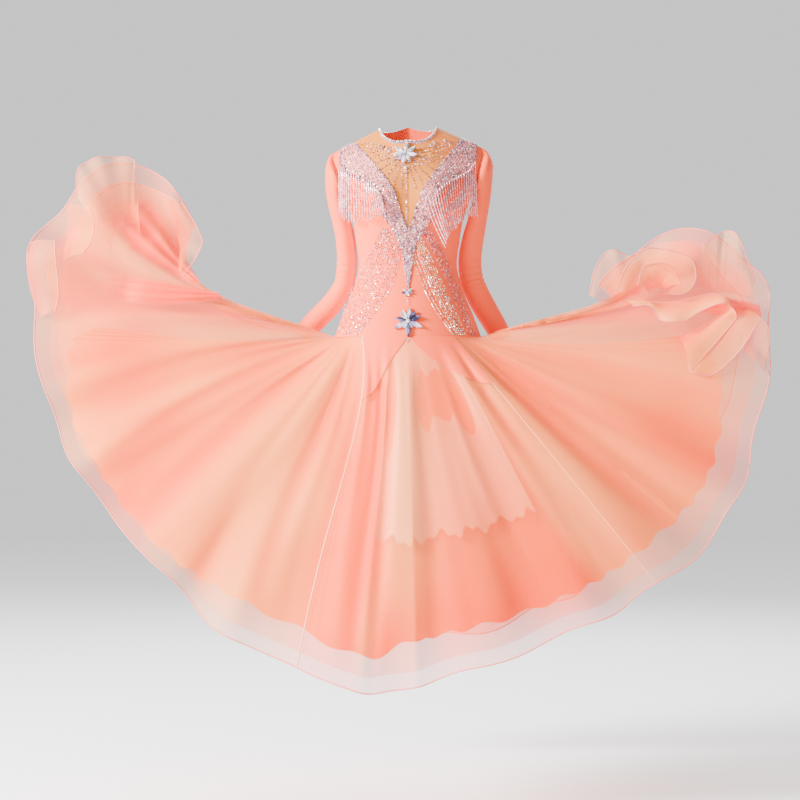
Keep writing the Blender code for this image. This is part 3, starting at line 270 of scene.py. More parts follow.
LINING = [
    Meridian(0.000, 0.04, -0.31, -1.140, 0, 0.03, 0.00, 0),
    Meridian(0.105, -0.24, -0.29, -1.126, 0, 0.02, 0.00, 0),
    Meridian(0.150, -0.58, -0.21, -0.932, 0, 0.02, 0.00, 0),
    Meridian(0.168, -0.70, -0.16, -0.796, 0, 0.02, 0.00, 0),
    Meridian(0.184, -0.79, -0.11, -0.640, 0, 0.01, 0.00, 0),
    Meridian(0.200, -0.80, -0.08, -0.500, 0, 0.00, 0.01, 0),
    Meridian(0.225, -0.76, -0.04, -0.440, 0, 0.00, 0.02, 0),
    Meridian(0.250, -0.70, -0.01, -0.440, 0, 0.00, 0.05, 0),
    Meridian(0.280, -0.71, 0.03, -0.500, 0, 0.00, 0.12, 0),
    Meridian(0.305, -0.73, 0.08, -0.600, 0, 0.00, 0.15, 0),
    Meridian(0.335, -0.67, 0.16, -0.790, 0, 0.02, 0.12, 0),
    Meridian(0.375, -0.52, 0.26, -0.960, 0, 0.03, 0.06, 0),
    Meridian(0.430, -0.27, 0.33, -1.090, 0, 0.03, 0.02, 0),
    Meridian(0.500, 0.00, 0.36, -1.130, 0, 0.03, 0.02, 0),
    Meridian(0.570, 0.27, 0.34, -1.090, 0, 0.03, 0.02, 0),
    Meridian(0.625, 0.50, 0.27, -0.970, 0, 0.03, 0.06, 0),
    Meridian(0.665, 0.64, 0.17, -0.810, 0, 0.02, 0.12, 0),
    Meridian(0.695, 0.69, 0.09, -0.630, 0, 0.00, 0.15, 0),
    Meridian(0.720, 0.66, 0.03, -0.520, 0, 0.00, 0.12, 0),
    Meridian(0.750, 0.62, -0.01, -0.460, 0, 0.00, 0.05, 0),
    Meridian(0.775, 0.68, -0.04, -0.460, 0, 0.00, 0.02, 0),
    Meridian(0.800, 0.73, -0.08, -0.530, 0, 0.00, 0.01, 0),
    Meridian(0.818, 0.735, -0.10, -0.640, 0, 0.01, 0.00, 0),
    Meridian(0.845, 0.70, -0.14, -0.780, 0, 0.02, 0.00, 0),
    Meridian(0.895, 0.50, -0.22, -0.974, 0, 0.02, 0.00, 0),
    Meridian(0.950, 0.27, -0.28, -1.084, 0, 0.02, 0.00, 0),
]
print("meridians:", len(SKIRT), "outside and", len(LINING), "for the lining")


# %% [markdown]
# ## The skirt as one surface
#
# A wide skirt hangs from its hip seam in waves. Cloth could be simulated, but it would be slow and
# would not stop in the wanted shape. Here each row of the table is one line from hip to hem, a
# Bezier curve with four points, and the lines between the rows are blended along the hem. All
# gores are cut from this one surface, so neighbours meet exactly at their seams.


# %% Skirt surface
def hip_point(turn):
    """The level hip seam: the widest oval of the body form."""
    turn = np.asarray(turn, float)
    hip = BODY_FORM[0]
    ahead = np.cos(2 * math.pi * turn)
    depth = np.where(ahead > 0, hip.front, hip.back)
    x = -hip.half_width * np.sin(2 * math.pi * turn)
    return np.stack([x, -depth * ahead, np.full_like(x, HIP_Z)], axis=-1)


ARC_TURNS = np.linspace(0, 1, 2001)
HEM_LINE = smooth([m.turn for m in SKIRT], [m[1:4] for m in SKIRT], ARC_TURNS, period=1.0)
ARC_STEPS = np.linalg.norm(np.diff(HEM_LINE, axis=0), axis=1)
ARC_LENGTHS = np.concatenate([[0], np.cumsum(ARC_STEPS)])


def arc_at(turn):
    """Length along the hem from the front centre to a place round the hip."""
    return np.interp(turn, ARC_TURNS, ARC_LENGTHS)


def hem_turns(first, last, step):
    """Places round the hip, evenly spaced along the hem."""
    if first < 0:
        right = hem_turns(first + 1, 1.0, step) - 1.0
        return np.concatenate([right, hem_turns(0.0, last, step)[1:]])
    start, end = arc_at(first), arc_at(last)
    count = max(2, round((end - start) / step))
    return np.interp(np.linspace(start, end, count + 1), ARC_LENGTHS, ARC_TURNS)


def wave_phase(turn):
    """Phase of the waves: 0 at each crest, and whole again at the front and back centre."""
    turn = np.mod(turn, 1.0)
    phase = np.zeros_like(turn)
    for crest, first, last in ((LEFT_CREST, 0.0, 0.5), (RIGHT_CREST, 0.5, 1.0)):
        for low, high in ((first, crest), (crest, last)):
            far = first if low == first else last
            share = np.abs(arc_at(turn) - arc_at(crest)) / abs(arc_at(far) - arc_at(crest))
            phase = np.where((turn >= low) & (turn <= high), share, phase)
    phase = 2 * math.pi * WAVES_A_QUARTER * phase
    return phase + 0.5 * np.sin(phase / 2)


def skirt_controls(turn, meridians):
    """Hip, two pulls and hem of each meridian, with its gather and ruffle."""
    table = smooth([m.turn for m in meridians], [m[1:] for m in meridians], turn, period=1.0)
    hem, (gather, billow, sag, ruffle) = table[..., :3], np.moveaxis(table[..., 3:], -1, 0)
    gather = np.clip(gather, 0, 1)[..., None]
    hip = hip_point(turn)
    around = np.mod(turn, 1.0)
    left = around < 0.5
    toward_front = np.where(left, LEFT_CREST - around, around - RIGHT_CREST)
    forward = np.tanh(toward_front / 0.03)
    neck = np.where(left[..., None], WING_NECK["left"], WING_NECK["right"])
    shoulder = np.where(left[..., None], WING_SHOULDER["left"], WING_SHOULDER["right"])
    pull_shoulder = np.stack([shoulder[..., 0], -0.045 - 0.03 * forward, shoulder[..., 1]], -1)
    pull_neck = np.stack([neck[..., 0], -0.030 - 0.045 * forward, neck[..., 1]], -1)
    out = np.zeros_like(hip)
    out[..., 1] = -np.tanh(toward_front / 0.08) * billow
    drop = np.zeros_like(hip)
    drop[..., 2] = -sag
    first = hip + (hem - hip) / 3
    second = hip + (hem - hip) * 2 / 3
    first = first + (pull_shoulder - first) * gather + 0.7 * out + drop
    second = second + (pull_neck - second) * gather + out + 0.6 * drop
    return hip, first, second, hem, gather, ruffle


def bezier(hip, first, second, hem, t):
    """The cubic curve with two pulls: weights (1-t)^3, 3t(1-t)^2, 3t^2(1-t) and t^3."""
    return (
        hip * (1 - t) ** 3 + 3 * first * t * (1 - t) ** 2 + 3 * second * t**2 * (1 - t) + hem * t**3
    )


def seam_pull(turn, down):
    """Near the left front seam the cloth moves in: a hump down*(1-down)^3 times a bell in turn."""
    beside = np.mod(turn + 0.5, 1.0) - 0.5 - LEFT_SEAM
    share = 256 / 27 * down * (1 - down) ** 3 * np.exp(-((beside / SEAM_PULL_SPREAD) ** 2))
    move = np.zeros(share.shape + (3,))
    move[..., 0] = SEAM_PULL * share
    return move


def skirt_point(turn, down):
    """Point of the outer skirt, with waves across it that grow towards the hem."""
    turn, down = np.broadcast_arrays(np.asarray(turn, float), np.asarray(down, float))
    hip, first, second, hem, gather, ruffle = skirt_controls(turn, SKIRT)
    t = down[..., None]
    point = bezier(hip, first, second, hem, t) + seam_pull(turn, down)
    outward = unit(hem - second)
    phase = wave_phase(turn)[..., None]
    early = 0.14 * ease(t / 0.3) * (1 - gather)
    late = ease((t - 0.35 - 0.25 * gather) / (0.65 - 0.25 * gather))
    height = ruffle[..., None] * (early + 0.86 * late) * ease(phase / CALM_PHASE)
    sway = np.array([0.0, -1.0, 0.0]) * np.sin(phase) + 0.4 * outward * np.cos(phase)
    return point + height * sway


print("hem all round:", round(float(ARC_LENGTHS[-1]), 2), "m")


# %% [markdown]
# ## Soft folds
#
# Cloth that hangs from a seam falls into long folds, which start narrow and widen on their way.
# A fold has a round crest and a tighter valley. The same number also serves the dye: the valley
# is painted deeper in colour, as painted shade, partly also for the more layers of cloth it holds.


# %% Fold function
FOLD_DEPTH = 0.013
FOLD_WAVES = [(13, 0.6, 0.9, 1.0), (25, 2.1, -1.6, 0.65),
              (46, 4.0, 2.6, 0.42), (87, 1.3, 3.1, 0.20)]
GODET_FOLDS = [(0.082, 0.011, 1.0), (0.045, 0.012, 0.6), (-0.028, 0.014, 0.5), (-0.070, 0.012, 0.9)]


def folds(turn, down):
    """Fold height from -1 to 1: tanh(0.75 * sum of share * sin(often * place + start + lean)).

    The place is the distance along the hem, as an angle round the whole hem, and the lean is
    1.7 * drift * down. Deep valleys lie beside the godet. All folds start from nothing at the hip.
    """
    turn, down = np.broadcast_arrays(np.asarray(turn, float), np.asarray(down, float))
    around = np.mod(turn, 1.0)
    phase = 2 * math.pi * arc_at(around) / ARC_LENGTHS[-1]
    height = np.zeros_like(phase)
    for often, start, drift, share in FOLD_WAVES:
        height = height + share * np.sin(often * phase + start + drift * down * 1.7)
    height = np.tanh(0.75 * height)
    beside = np.mod(turn + 0.5, 1.0) - 0.5
    for centre, spread, share in GODET_FOLDS:
        valley = np.exp(-(((beside - centre * (0.75 + 0.25 * down)) / spread) ** 2))
        height = height * (1 - valley) - share * valley
    return height * ease(down / 0.22)


Shade = namedtuple("Shade", "turn down wide tall amount")
# Painted shade of deep folds where the amount is below zero, and paler places where it is above.
SHADES = [Shade(0.074, 0.42, 0.020, 0.30, -1.8), Shade(0.020, 0.90, 0.030, 0.14, -1.3),
          Shade(-0.045, 0.93, 0.035, 0.12, -1.5), Shade(0.052, 0.85, 0.014, 0.12, 1.4),
          Shade(0.190, 0.70, 0.014, 0.16, -1.5), Shade(0.140, 0.55, 0.035, 0.20, 0.9)]


def shaded_folds(turn, down):
    """Fold heights, painted shade of deep folds and paler places: amount * bell(turn) * bell(down).
    """
    turn, down = np.broadcast_arrays(np.asarray(turn, float), np.asarray(down, float))
    beside = np.mod(turn + 0.5, 1.0) - 0.5
    tone = folds(turn, down)
    for shade in SHADES:
        across = np.exp(-(((beside - shade.turn) / shade.wide) ** 2))
        tone = tone + shade.amount * across * np.exp(-(((down - shade.down) / shade.tall) ** 2))
    return tone


def folded_point(turn, down):
    """The skirt surface moved along its depth by the folds, less near the crests and the hem."""
    height = folds(turn, down)
    near_crest = ease(wave_phase(turn) / CALM_PHASE)
    move = FOLD_DEPTH * height * near_crest * (1 - 0.6 * ease((down - 0.75) / 0.25))
    point = skirt_point(turn, down)
    around = np.mod(turn, 1.0)
    behind = np.where((around > LEFT_CREST) & (around < RIGHT_CREST), 1.0, -1.0)
    point[..., 1] = point[..., 1] + behind * move
    return point


# %% [markdown]
# ## Turning a grid of points into cloth
#
# A grid of points becomes a mesh of four-sided faces in one go. Its UV map is in metres of cloth,
# so that a weave drawn on it has its real size everywhere.


# %% Mesh helpers
def make_mesh(name, points, faces, uv=None):
    """A mesh from whole arrays of points and faces."""
    mesh = bpy.data.meshes.new(name)
    mesh.from_pydata(points.tolist(), [], faces.tolist())
    if uv is not None:
        layer = mesh.uv_layers.new(name="cloth")
        layer.data.foreach_set("uv", uv[faces.ravel()].ravel().astype(np.float32))
    mesh.shade_smooth()
    obj = bpy.data.objects.new(name, mesh)
    bpy.context.scene.collection.objects.link(obj)
    return obj


def grid_faces(rows, columns, closed=False):
    """Corner numbers of every face of a grid of points."""
    across = np.arange(columns if closed else columns - 1)
    i, j = np.meshgrid(np.arange(rows - 1), across, indexing="ij")
    k = (j + 1) % columns
    corners = [i * columns + j, i * columns + k, (i + 1) * columns + k, (i + 1) * columns + j]
    return np.stack([c.ravel() for c in corners], axis=-1)


def grid_object(name, grid, flip=False, closed=False, tone=None):
    """One sheet of cloth from a grid of points, with its UV map in metres and its painted fold
    shade.
    """
    rows, columns = grid.shape[:2]
    along = np.linalg.norm(np.diff(grid, axis=0), axis=-1)
    across = np.linalg.norm(np.diff(grid, axis=1), axis=-1)
    v = np.concatenate([np.zeros((1, columns)), np.cumsum(along, axis=0)])
    u = np.concatenate([np.zeros((rows, 1)), np.cumsum(across, axis=1)], axis=1)
    uv = np.stack([u, v], axis=-1).reshape(-1, 2)
    faces = grid_faces(rows, columns, closed)
    if flip:
        faces = faces[:, ::-1]
    obj = make_mesh(name, grid.reshape(-1, 3), faces, uv)
    layer = obj.data.attributes.new("fold", "FLOAT", "POINT")
    heights = np.zeros((rows, columns)) if tone is None else tone
    layer.data.foreach_set("value", heights.ravel().astype(np.float32))
    return obj


def grid_normals(grid):
    """Direction of the sheet at each point, from its neighbours along rows and columns."""
    down = np.gradient(grid, axis=0)
    across = np.gradient(grid, axis=1)
    return unit(np.cross(across, down))


def area_of(grid):
    """Area of a grid of points, two triangles to a face."""
    a, b, c, d = grid[:-1, :-1], grid[:-1, 1:], grid[1:, 1:], grid[1:, :-1]
    first = np.linalg.norm(np.cross(b - a, c - a), axis=-1)
    second = np.linalg.norm(np.cross(c - a, d - a), axis=-1)
    return float((first + second).sum() / 2)


def tube(path, radius, sides=6):
    """Rings of a round tube along a path of points; radius may change along it."""
    path = np.asarray(path, float)
    radius = np.broadcast_to(np.asarray(radius, float), len(path))
    tangent = unit(np.gradient(path, axis=0))
    helper = np.where(np.abs(tangent[:, 2:]) > 0.9, [1.0, 0.0, 0.0], [0.0, 0.0, 1.0])
    side = unit(np.cross(tangent, helper))
    up = np.cross(side, tangent)
    angle = np.linspace(0, 2 * math.pi, sides, endpoint=False)[None, :, None]
    circle = np.cos(angle) * side[:, None] + np.sin(angle) * up[:, None]
    return path[:, None] + radius[:, None, None] * circle


def tubes_object(name, rings_list):
    """Several tubes as one object."""
    points, faces, start = [], [], 0
    for rings in rings_list:
        rows, sides = rings.shape[:2]
        points.append(rings.reshape(-1, 3))
        faces.append(grid_faces(rows, sides, closed=True) + start)
        start += rows * sides
    return make_mesh(name, np.concatenate(points), np.concatenate(faces))


def dress(obj, material, slot, *nodes):
    """Gives a piece its material, makes it ride with the dress, and hides the frame's solids it
    stands for.
    """
    obj.data.materials.append(material)
    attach(obj, "root")
    if nodes:
        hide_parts(*nodes)
    return obj


# %% [markdown]
# ## Materials
#
# A material is a small network of nodes that ends in one shader. Every cloth and every stone here
# is made the same way, so three short helpers do the writing: an empty material, the values of a
# node's sockets, and a new node. Settings come before values, because a setting can change which
# sockets a node has.


# %% Material helpers
def new_material(name):
    """An empty material with its shader, nodes and links."""
    material = bpy.data.materials.new(name)
    material.use_nodes = True
    nodes, links = material.node_tree.nodes, material.node_tree.links
    return material, nodes, links, nodes["Principled BSDF"]


def set_sockets(node, values):
    """Gives the named input sockets of a node their values."""
    for socket, value in values.items():
        node.inputs[socket].default_value = value


def add_node(nodes, kind, sockets=None, **settings):
    """A new shader node with its settings and the values of its sockets."""
    node = nodes.new("ShaderNode" + kind)
    for key, value in settings.items():
        setattr(node, key, value)
    set_sockets(node, sockets or {})
    return node


# %% [markdown]
# ## Cloth
#
# Jersey, satin, net and organza differ in dye, shine, thread count and how much light passes. One
# function makes them all, so they share the weave. A photographed weave would need a picture file.
# Drawn threads need none: they are two sets of ridges on the UV map, whose unit is a metre. Colour
# varies a little from place to place, as dye does. The fold attribute of a sheet mixes the two dye
# tones: deeper in the valleys of folds, as painted shade, partly also for the more layers a valley
# holds. Sheer cloth lets light through between its threads, which is its alpha. The gathered folds
# also fade out at their ends.


# %% Cloth materials
SHEEN_TINT = (1.0, 0.60, 0.40, 1.0)
PATCH_SCALE, PATCH_DETAIL, FOLD_SHARE = 3.0, 4.0, 0.45
THREAD_WOBBLE, THREAD_BUMP = 0.6, 0.25


def dye(nodes, links, place, low, high):
    """The dye: low * (1 - f) + high * f; f is the patch noise plus FOLD_SHARE of the fold, painted
    shade.
    """
    patches = add_node(nodes, "TexNoise", {"Scale": PATCH_SCALE, "Detail": PATCH_DETAIL})
    links.new(place.outputs["Object"], patches.inputs["Vector"])
    fold = add_node(nodes, "Attribute", attribute_name="fold")
    height = add_node(nodes, "Math", {1: FOLD_SHARE}, operation="MULTIPLY_ADD")
    links.new(fold.outputs["Fac"], height.inputs[0])
    links.new(patches.outputs["Fac"], height.inputs[2])
    mix = add_node(nodes, "Mix", {"A": (*low, 1), "B": (*high, 1)}, data_type="RGBA")
    links.new(height.outputs["Value"], mix.inputs["Factor"])
    return mix.outputs["Result"]


def thread_weave(nodes, links, place, threads):
    """Two sets of thread ridges across each other, and at each spot the higher of the two."""
    weave = add_node(nodes, "Math", operation="MAXIMUM")
    for k, axis in enumerate(("X", "Y")):
        ridges = add_node(
            nodes, "TexWave", {"Scale": threads, "Distortion": THREAD_WOBBLE}, bands_direction=axis
        )
        links.new(place.outputs["UV"], ridges.inputs["Vector"])
        links.new(ridges.outputs["Fac"], weave.inputs[k])
    return weave.outputs["Value"]


def sheerness(nodes, links, weave, alpha, soft_ends):
    """Alpha: the first value between threads, the second on them, times the fade attribute."""
    clear = add_node(nodes, "MapRange", {"To Min": alpha[0], "To Max": alpha[1]})
    links.new(weave, clear.inputs["Value"])
    if not soft_ends:
        return clear.outputs["Result"]
    fade = add_node(nodes, "Attribute", attribute_name="fade")
    faded = add_node(nodes, "Math", operation="MULTIPLY")
    links.new(clear.outputs["Result"], faded.inputs[0])
    links.new(fade.outputs["Fac"], faded.inputs[1])
    return faded.outputs["Value"]


def cloth(name, low, high, roughness, sheen, threads, depth, alpha=None, soft_ends=False):
    """Cloth: two dye tones in patches and folds, fine thread ridges and a sheen."""
    material, nodes, links, shader = new_material(name)
    place = add_node(nodes, "TexCoord")
    links.new(dye(nodes, links, place, low, high), shader.inputs["Base Color"])
    weave = thread_weave(nodes, links, place, threads)
    bump = add_node(nodes, "Bump", {"Strength": THREAD_BUMP, "Distance": depth})
    links.new(weave, bump.inputs["Height"])
    links.new(bump.outputs["Normal"], shader.inputs["Normal"])
    set_sockets(shader, {"Roughness": roughness, "Specular IOR Level": 0.15, "Sheen Weight": sheen,
                         "Sheen Roughness": 0.4, "Sheen Tint": SHEEN_TINT})
    if alpha:
        links.new(sheerness(nodes, links, weave, alpha, soft_ends), shader.inputs["Alpha"])
    return material


DEEP_PEACH, PALE_PEACH = (1.0, 0.088, 0.010), (1.0, 0.32, 0.082)
JERSEY = cloth("coral_jersey", (0.88, 0.064, 0.015), (0.94, 0.12, 0.036), 0.62, 0.10, 700, 0.0003)
NET = cloth("skin_net", (0.54, 0.15, 0.014), (0.66, 0.21, 0.028),
            0.6, 0.02, 420, 0.0003, (0.66, 0.95))
BAND = cloth("band_satin", (0.66, 0.17, 0.15), (0.78, 0.27, 0.24), 0.35, 0.1, 500, 0.0002)
ORGANZA = cloth("organza", DEEP_PEACH, PALE_PEACH, 0.5, 0.15, 480, 0.0002, (0.22, 0.42))
# A darker copy of the organza for the gathered folds: painted shade of the gathers, partly also the
# deeper colour of their many layers.
ORGANZA_GATHER_SHADE = cloth("organza_deep", (1.0, 0.02, 0.004), (1.0, 0.075, 0.02),
                     0.5, 0.0, 480, 0.0002, (0.60, 0.88), soft_ends=True)
ORGANZA_DENSE = cloth("organza_dense", DEEP_PEACH, PALE_PEACH,
                      0.5, 0.15, 480, 0.0002, (0.45, 0.75))
LINING_CLOTH = cloth("lining_cloth", (1.0, 0.072, 0.006), (1.0, 0.30, 0.066),
                     0.6, 0.0, 400, 0.0003)
HEM_BRAID = cloth("hem_braid", (0.80, 0.14, 0.11), (0.88, 0.20, 0.16), 0.45, 0.1, 600, 0.0002)
SEAM_CORD = cloth("seam_cord", (1.0, 0.30, 0.14), (1.0, 0.46, 0.28), 0.6, 0.1, 600, 0.0002)
FRILL_CLOTH = cloth("frill_cloth", (1.0, 0.46, 0.22), (1.0, 0.68, 0.42), 0.6, 0.05, 400, 0.0003)


# %% [markdown]
# ## Stones and beads
#
# A cut stone flashes in one tone on each facet. Here each spot takes one of a few tones by a cell
# pattern that is finer than the stones' spacing, so that neighbours differ and no stone needs a
# material of its own. The tones are partly the stones' own colours and partly painted facet
# reflections, bright and dark. Some metal in the shader and a clear coat give the glitter.


# %% Stone and bead materials
def stones(name, colours, roughness, scale):
    """Faceted stones: own colours and painted facet reflections, by cells finer than their spacing.
    """
    material, nodes, links, shader = new_material(name)
    place = add_node(nodes, "TexCoord")
    cells = add_node(nodes, "TexVoronoi", {"Scale": scale})
    links.new(place.outputs["Object"], cells.inputs["Vector"])
    ramp = add_node(nodes, "ValToRGB")
    ramp.color_ramp.interpolation = "CONSTANT"
    while len(ramp.color_ramp.elements) < len(colours):
        ramp.color_ramp.elements.new(0.5)
    for k, colour in enumerate(colours):
        ramp.color_ramp.elements[k].position = k / len(colours)
        ramp.color_ramp.elements[k].color = (*colour, 1)
    split = add_node(nodes, "SeparateColor")
    links.new(cells.outputs["Color"], split.inputs["Color"])
    links.new(split.outputs["Red"], ramp.inputs["Fac"])
    links.new(ramp.outputs["Color"], shader.inputs["Base Color"])
    set_sockets(shader, {"Roughness": roughness, "Metallic": 0.35, "Coat Weight": 0.5,
                         "Coat Roughness": 0.05})
    return material


SILVER_TONES = [(0.97, 0.84, 0.80), (0.12, 0.05, 0.06), (0.80, 0.30, 0.26), (0.34, 0.17, 0.20)]
PINK_TONES = [(0.74, 0.13, 0.12), (0.92, 0.40, 0.36), (0.18, 0.05, 0.06), (0.66, 0.20, 0.22)]
GOLD_TONES = [(0.86, 0.60, 0.26), (0.94, 0.88, 0.78), (0.26, 0.16, 0.08), (0.70, 0.46, 0.20)]
DARK_TONES = [(0.05, 0.04, 0.08), (0.14, 0.12, 0.22), (0.30, 0.18, 0.28)]
LILAC_TONES = [(0.46, 0.18, 0.26), (0.80, 0.42, 0.46), (0.96, 0.80, 0.80)]
SILVER_STONES = stones("silver_stones", SILVER_TONES, 0.14, 230)
PINK_STONES = stones("pink_stones", PINK_TONES, 0.14, 230)
GOLD_STONES = stones("gold_stones", GOLD_TONES, 0.14, 230)
DARK_STONES = stones("dark_stones", DARK_TONES, 0.10, 260)
LILAC_STONES = stones("lilac_stones", LILAC_TONES, 0.10, 260)
CUT_SILVER = stones("cut_silver", [(0.80, 0.79, 0.76), (0.30, 0.29, 0.29), (0.62, 0.54, 0.50)],
                    0.06, 110)
CUT_LILAC = stones("cut_lilac", [(0.42, 0.30, 0.60), (0.74, 0.64, 0.86), (0.26, 0.24, 0.44)],
                   0.06, 75)
CUT_DARK = stones("cut_dark", [(0.02, 0.02, 0.05), (0.07, 0.08, 0.18), (0.18, 0.16, 0.30)],
                  0.05, 75)
BEADS = stones("rose_beads", [(0.90, 0.26, 0.28), (0.97, 0.62, 0.60), (0.60, 0.18, 0.22)],
               0.2, 300)
print("materials:", len(bpy.data.materials))


# %% [markdown]
# ## Bodice
#
# The front is one piece: two halves beside the V, joined below it, which run on over the skirt
# as two pointed tails. Each half is a grid from the V edge to the side seam.


# %% Front, back and yoke
def front_half(side, rows=110, columns=40):
    """Half of the front: rows by rise, columns by angle from the V edge to the side or armhole."""
    rise = np.linspace(0, 2, rows)[:, None]
    start = np.where(rise > V_BOTTOM_RISE, cut_angle(rise, 1), 0.0)
    angle = start + (side_angle(rise) - start) * np.linspace(0, 1, columns)[None, :]
    return body_point(side * angle, rise)


def tail_half(side, rows=24, columns=25):
    """One tail: on the skirt's surface, from its inner edge to the seam, narrowing to a point."""
    down = np.linspace(0, TAIL_DOWN, rows)[:, None]
    seam = LEFT_SEAM if side < 0 else RIGHT_SEAM - 1
    inner = seam * down / TAIL_DOWN
    grid = folded_point(inner + (seam - inner) * np.linspace(0, 1, columns)[None, :], down)
    return grid + grid_normals(grid) * 0.0008 * np.sign(-side)


def join_grids(name, grids, flips):
    """Several grids as one mesh."""
    pieces = [grid_object(name + "_part", g, flip=f) for g, f in zip(grids, flips)]
    points, faces, uv, start = [], [], [], 0
    for piece in pieces:
        mesh = piece.data
        co = np.empty(3 * len(mesh.vertices))
        mesh.vertices.foreach_get("co", co)
        index = np.empty(len(mesh.loops), int)
        mesh.loops.foreach_get("vertex_index", index)
        coords = np.empty(2 * len(mesh.loops))
        mesh.uv_layers[0].data.foreach_get("uv", coords)
        vertex_uv = np.zeros((len(mesh.vertices), 2))
        vertex_uv[index] = coords.reshape(-1, 2)
        points.append(co.reshape(-1, 3))
        faces.append(index.reshape(-1, 4) + start)
        uv.append(vertex_uv)
        start += len(mesh.vertices)
        bpy.data.objects.remove(piece)
    return make_mesh(name, np.concatenate(points), np.concatenate(faces), np.concatenate(uv))


front_grids = [front_half(-1), front_half(1)]
tail_grids = [tail_half(-1), tail_half(1)]
jersey_front = join_grids("jersey_front", front_grids + tail_grids, [True, False, False, True])
dress(jersey_front, JERSEY, "jersey", "bodice_front")
front_area = sum(area_of(g) for g in front_grids + tail_grids)
print("jersey front area:", round(front_area, 3), "m2")


def back_panel(rows=90, columns=81):
    """The back, from side seam to side seam, up to the shoulder seams and the neckline."""
    rise = np.linspace(0, 2, rows)[:, None]
    across = np.linspace(-1, 1, columns)[None, :]
    x_top = SHOULDER_HALF_WIDTH * np.sin(across * math.pi / 2)
    level = rise - neckline_drop(x_top, NECKLINE_DROP_BACK) * np.maximum(rise - 1, 0)
    return body_point(across * side_angle(rise), level, front=False)


back_grid = back_panel()
jersey_back = grid_object("jersey_back", back_grid, flip=True)
dress(jersey_back, JERSEY, "jersey", "bodice_back")
print("jersey back area:", round(area_of(back_grid), 3), "m2")


def yoke(rows=60, columns=49):
    """The net in the V: its middle dips to the neckline, and its sides follow the V edge."""
    rise = np.linspace(V_BOTTOM_RISE, 2, rows)[:, None]
    across = np.linspace(-1, 1, columns)[None, :]
    edge_x = np.maximum(form_half_width(rise) * np.sin(cut_angle(rise, 1)), 1e-4)
    x = across * edge_x
    fade = (rise - V_BOTTOM_RISE) / (2 - V_BOTTOM_RISE)
    from_middle = x * np.maximum(NECK_HALF_WIDTH / edge_x, 1.0)
    level = rise - neckline_drop(from_middle, NECKLINE_DROP_FRONT) * fade
    return body_point(np.arcsin(x / form_half_width(level)), level)


yoke_grid = yoke()
net_yoke = dress(grid_object("net_yoke", yoke_grid), NET, "net", "yoke_front")
print("yoke area:", round(area_of(yoke_grid), 3), "m2")


# %% [markdown]
# ## Sleeves
#
# A sleeve is a stack of rings from the armhole to the cuff. The first ring is the armhole's own
# edge. Small creases run round the elbow, where the cloth is pushed together.


# %% Sleeves
Section = namedtuple("Section", "x y z tilt radius_out radius_front")
SLEEVE_LEFT = [
    Section(-0.178, 0.004, -0.086, 29, 0.041, 0.046),
    Section(-0.1745, 0.006, -0.117, 46, 0.0325, 0.039),
    Section(-0.1645, 0.010, -0.158, 71, 0.0255, 0.035),
    Section(-0.1525, 0.018, -0.205, 88, 0.0235, 0.033),
    Section(-0.147, 0.030, -0.262, 90, 0.0240, 0.031),
    Section(-0.151, 0.040, -0.311, 75, 0.0245, 0.031),
    Section(-0.160, 0.046, -0.337, 58, 0.0245, 0.030),
    Section(-0.186, 0.056, -0.374, 51, 0.0260, 0.030),
    Section(-0.217, 0.066, -0.405, 49, 0.0260, 0.028),
    Section(-0.262, 0.078, -0.450, 48, 0.0240, 0.025),
]
SLEEVE_RIGHT = [
    Section(0.181, 0.004, -0.080, 31, 0.046, 0.047),
    Section(0.177, 0.006, -0.113, 46, 0.035, 0.040),
    Section(0.169, 0.010, -0.159, 70, 0.0265, 0.035),
    Section(0.159, 0.018, -0.205, 87, 0.0265, 0.033),
    Section(0.150, 0.030, -0.260, 90, 0.0280, 0.032),
    Section(0.153, 0.040, -0.308, 80, 0.0285, 0.032),
    Section(0.165, 0.046, -0.341, 64, 0.0290, 0.031),
    Section(0.183, 0.056, -0.375, 59, 0.0290, 0.031),
    Section(0.209, 0.066, -0.418, 59, 0.0275, 0.029),
    Section(0.232, 0.078, -0.457, 59, 0.0255, 0.0265),
]
RING = 64


def armhole(side):
    """The armhole's edge: shoulder point, down the front, armpit and up the back."""
    half = np.linspace(0, 1, RING // 2 + 1)
    rise = 2 - half
    front = body_point(side * side_angle(rise), rise)
    back = body_point(side * side_angle(rise[::-1]), rise[::-1], front=False)
    return np.concatenate([front, back[1:-1]])


def sleeve(side, sections):
    """Rings of a sleeve: the armhole, then ovals set by the sections, with creases at the elbow."""
    turns = np.linspace(0, 2 * math.pi, RING, endpoint=False)
    keys = np.arange(len(sections), dtype=float)
    at = np.linspace(0, len(sections) - 1, 120)
    table = smooth(keys, [list(s) for s in sections], at)
    tilt = np.radians(table[:, 3])
    out = np.stack([side * np.sin(tilt), 0 * tilt, np.cos(tilt)], axis=-1)
    along = at / (len(sections) - 1)
    crease = 0.0011 * np.sin(along * 150) * np.exp(-(((along - 0.56) / 0.10) ** 2))
    crease = crease + 0.0008 * np.sin(along * 190) * np.exp(-(((along - 0.97) / 0.06) ** 2))
    swell = 1 + crease[:, None] / 0.028 * (0.5 + 0.5 * np.cos(turns - 1.2))[None, :]
    ring = (
        table[:, None, :3]
        + (table[:, 4, None] * swell * np.cos(turns))[..., None] * out[:, None]
        + (table[:, 5, None] * swell * np.sin(turns))[..., None] * np.array([0, -1, 0])
    )
    hole = armhole(side)
    blend = np.linspace(0, 1, 13)[:-1, None, None]
    around = unit(ring[:1] - table[0, :3]) + np.array([0, 0, 0.4])
    cap = hole[None] * (1 - blend) + ring[:1] * blend + 0.0065 * np.sin(math.pi * blend) * around
    return np.concatenate([cap, ring])


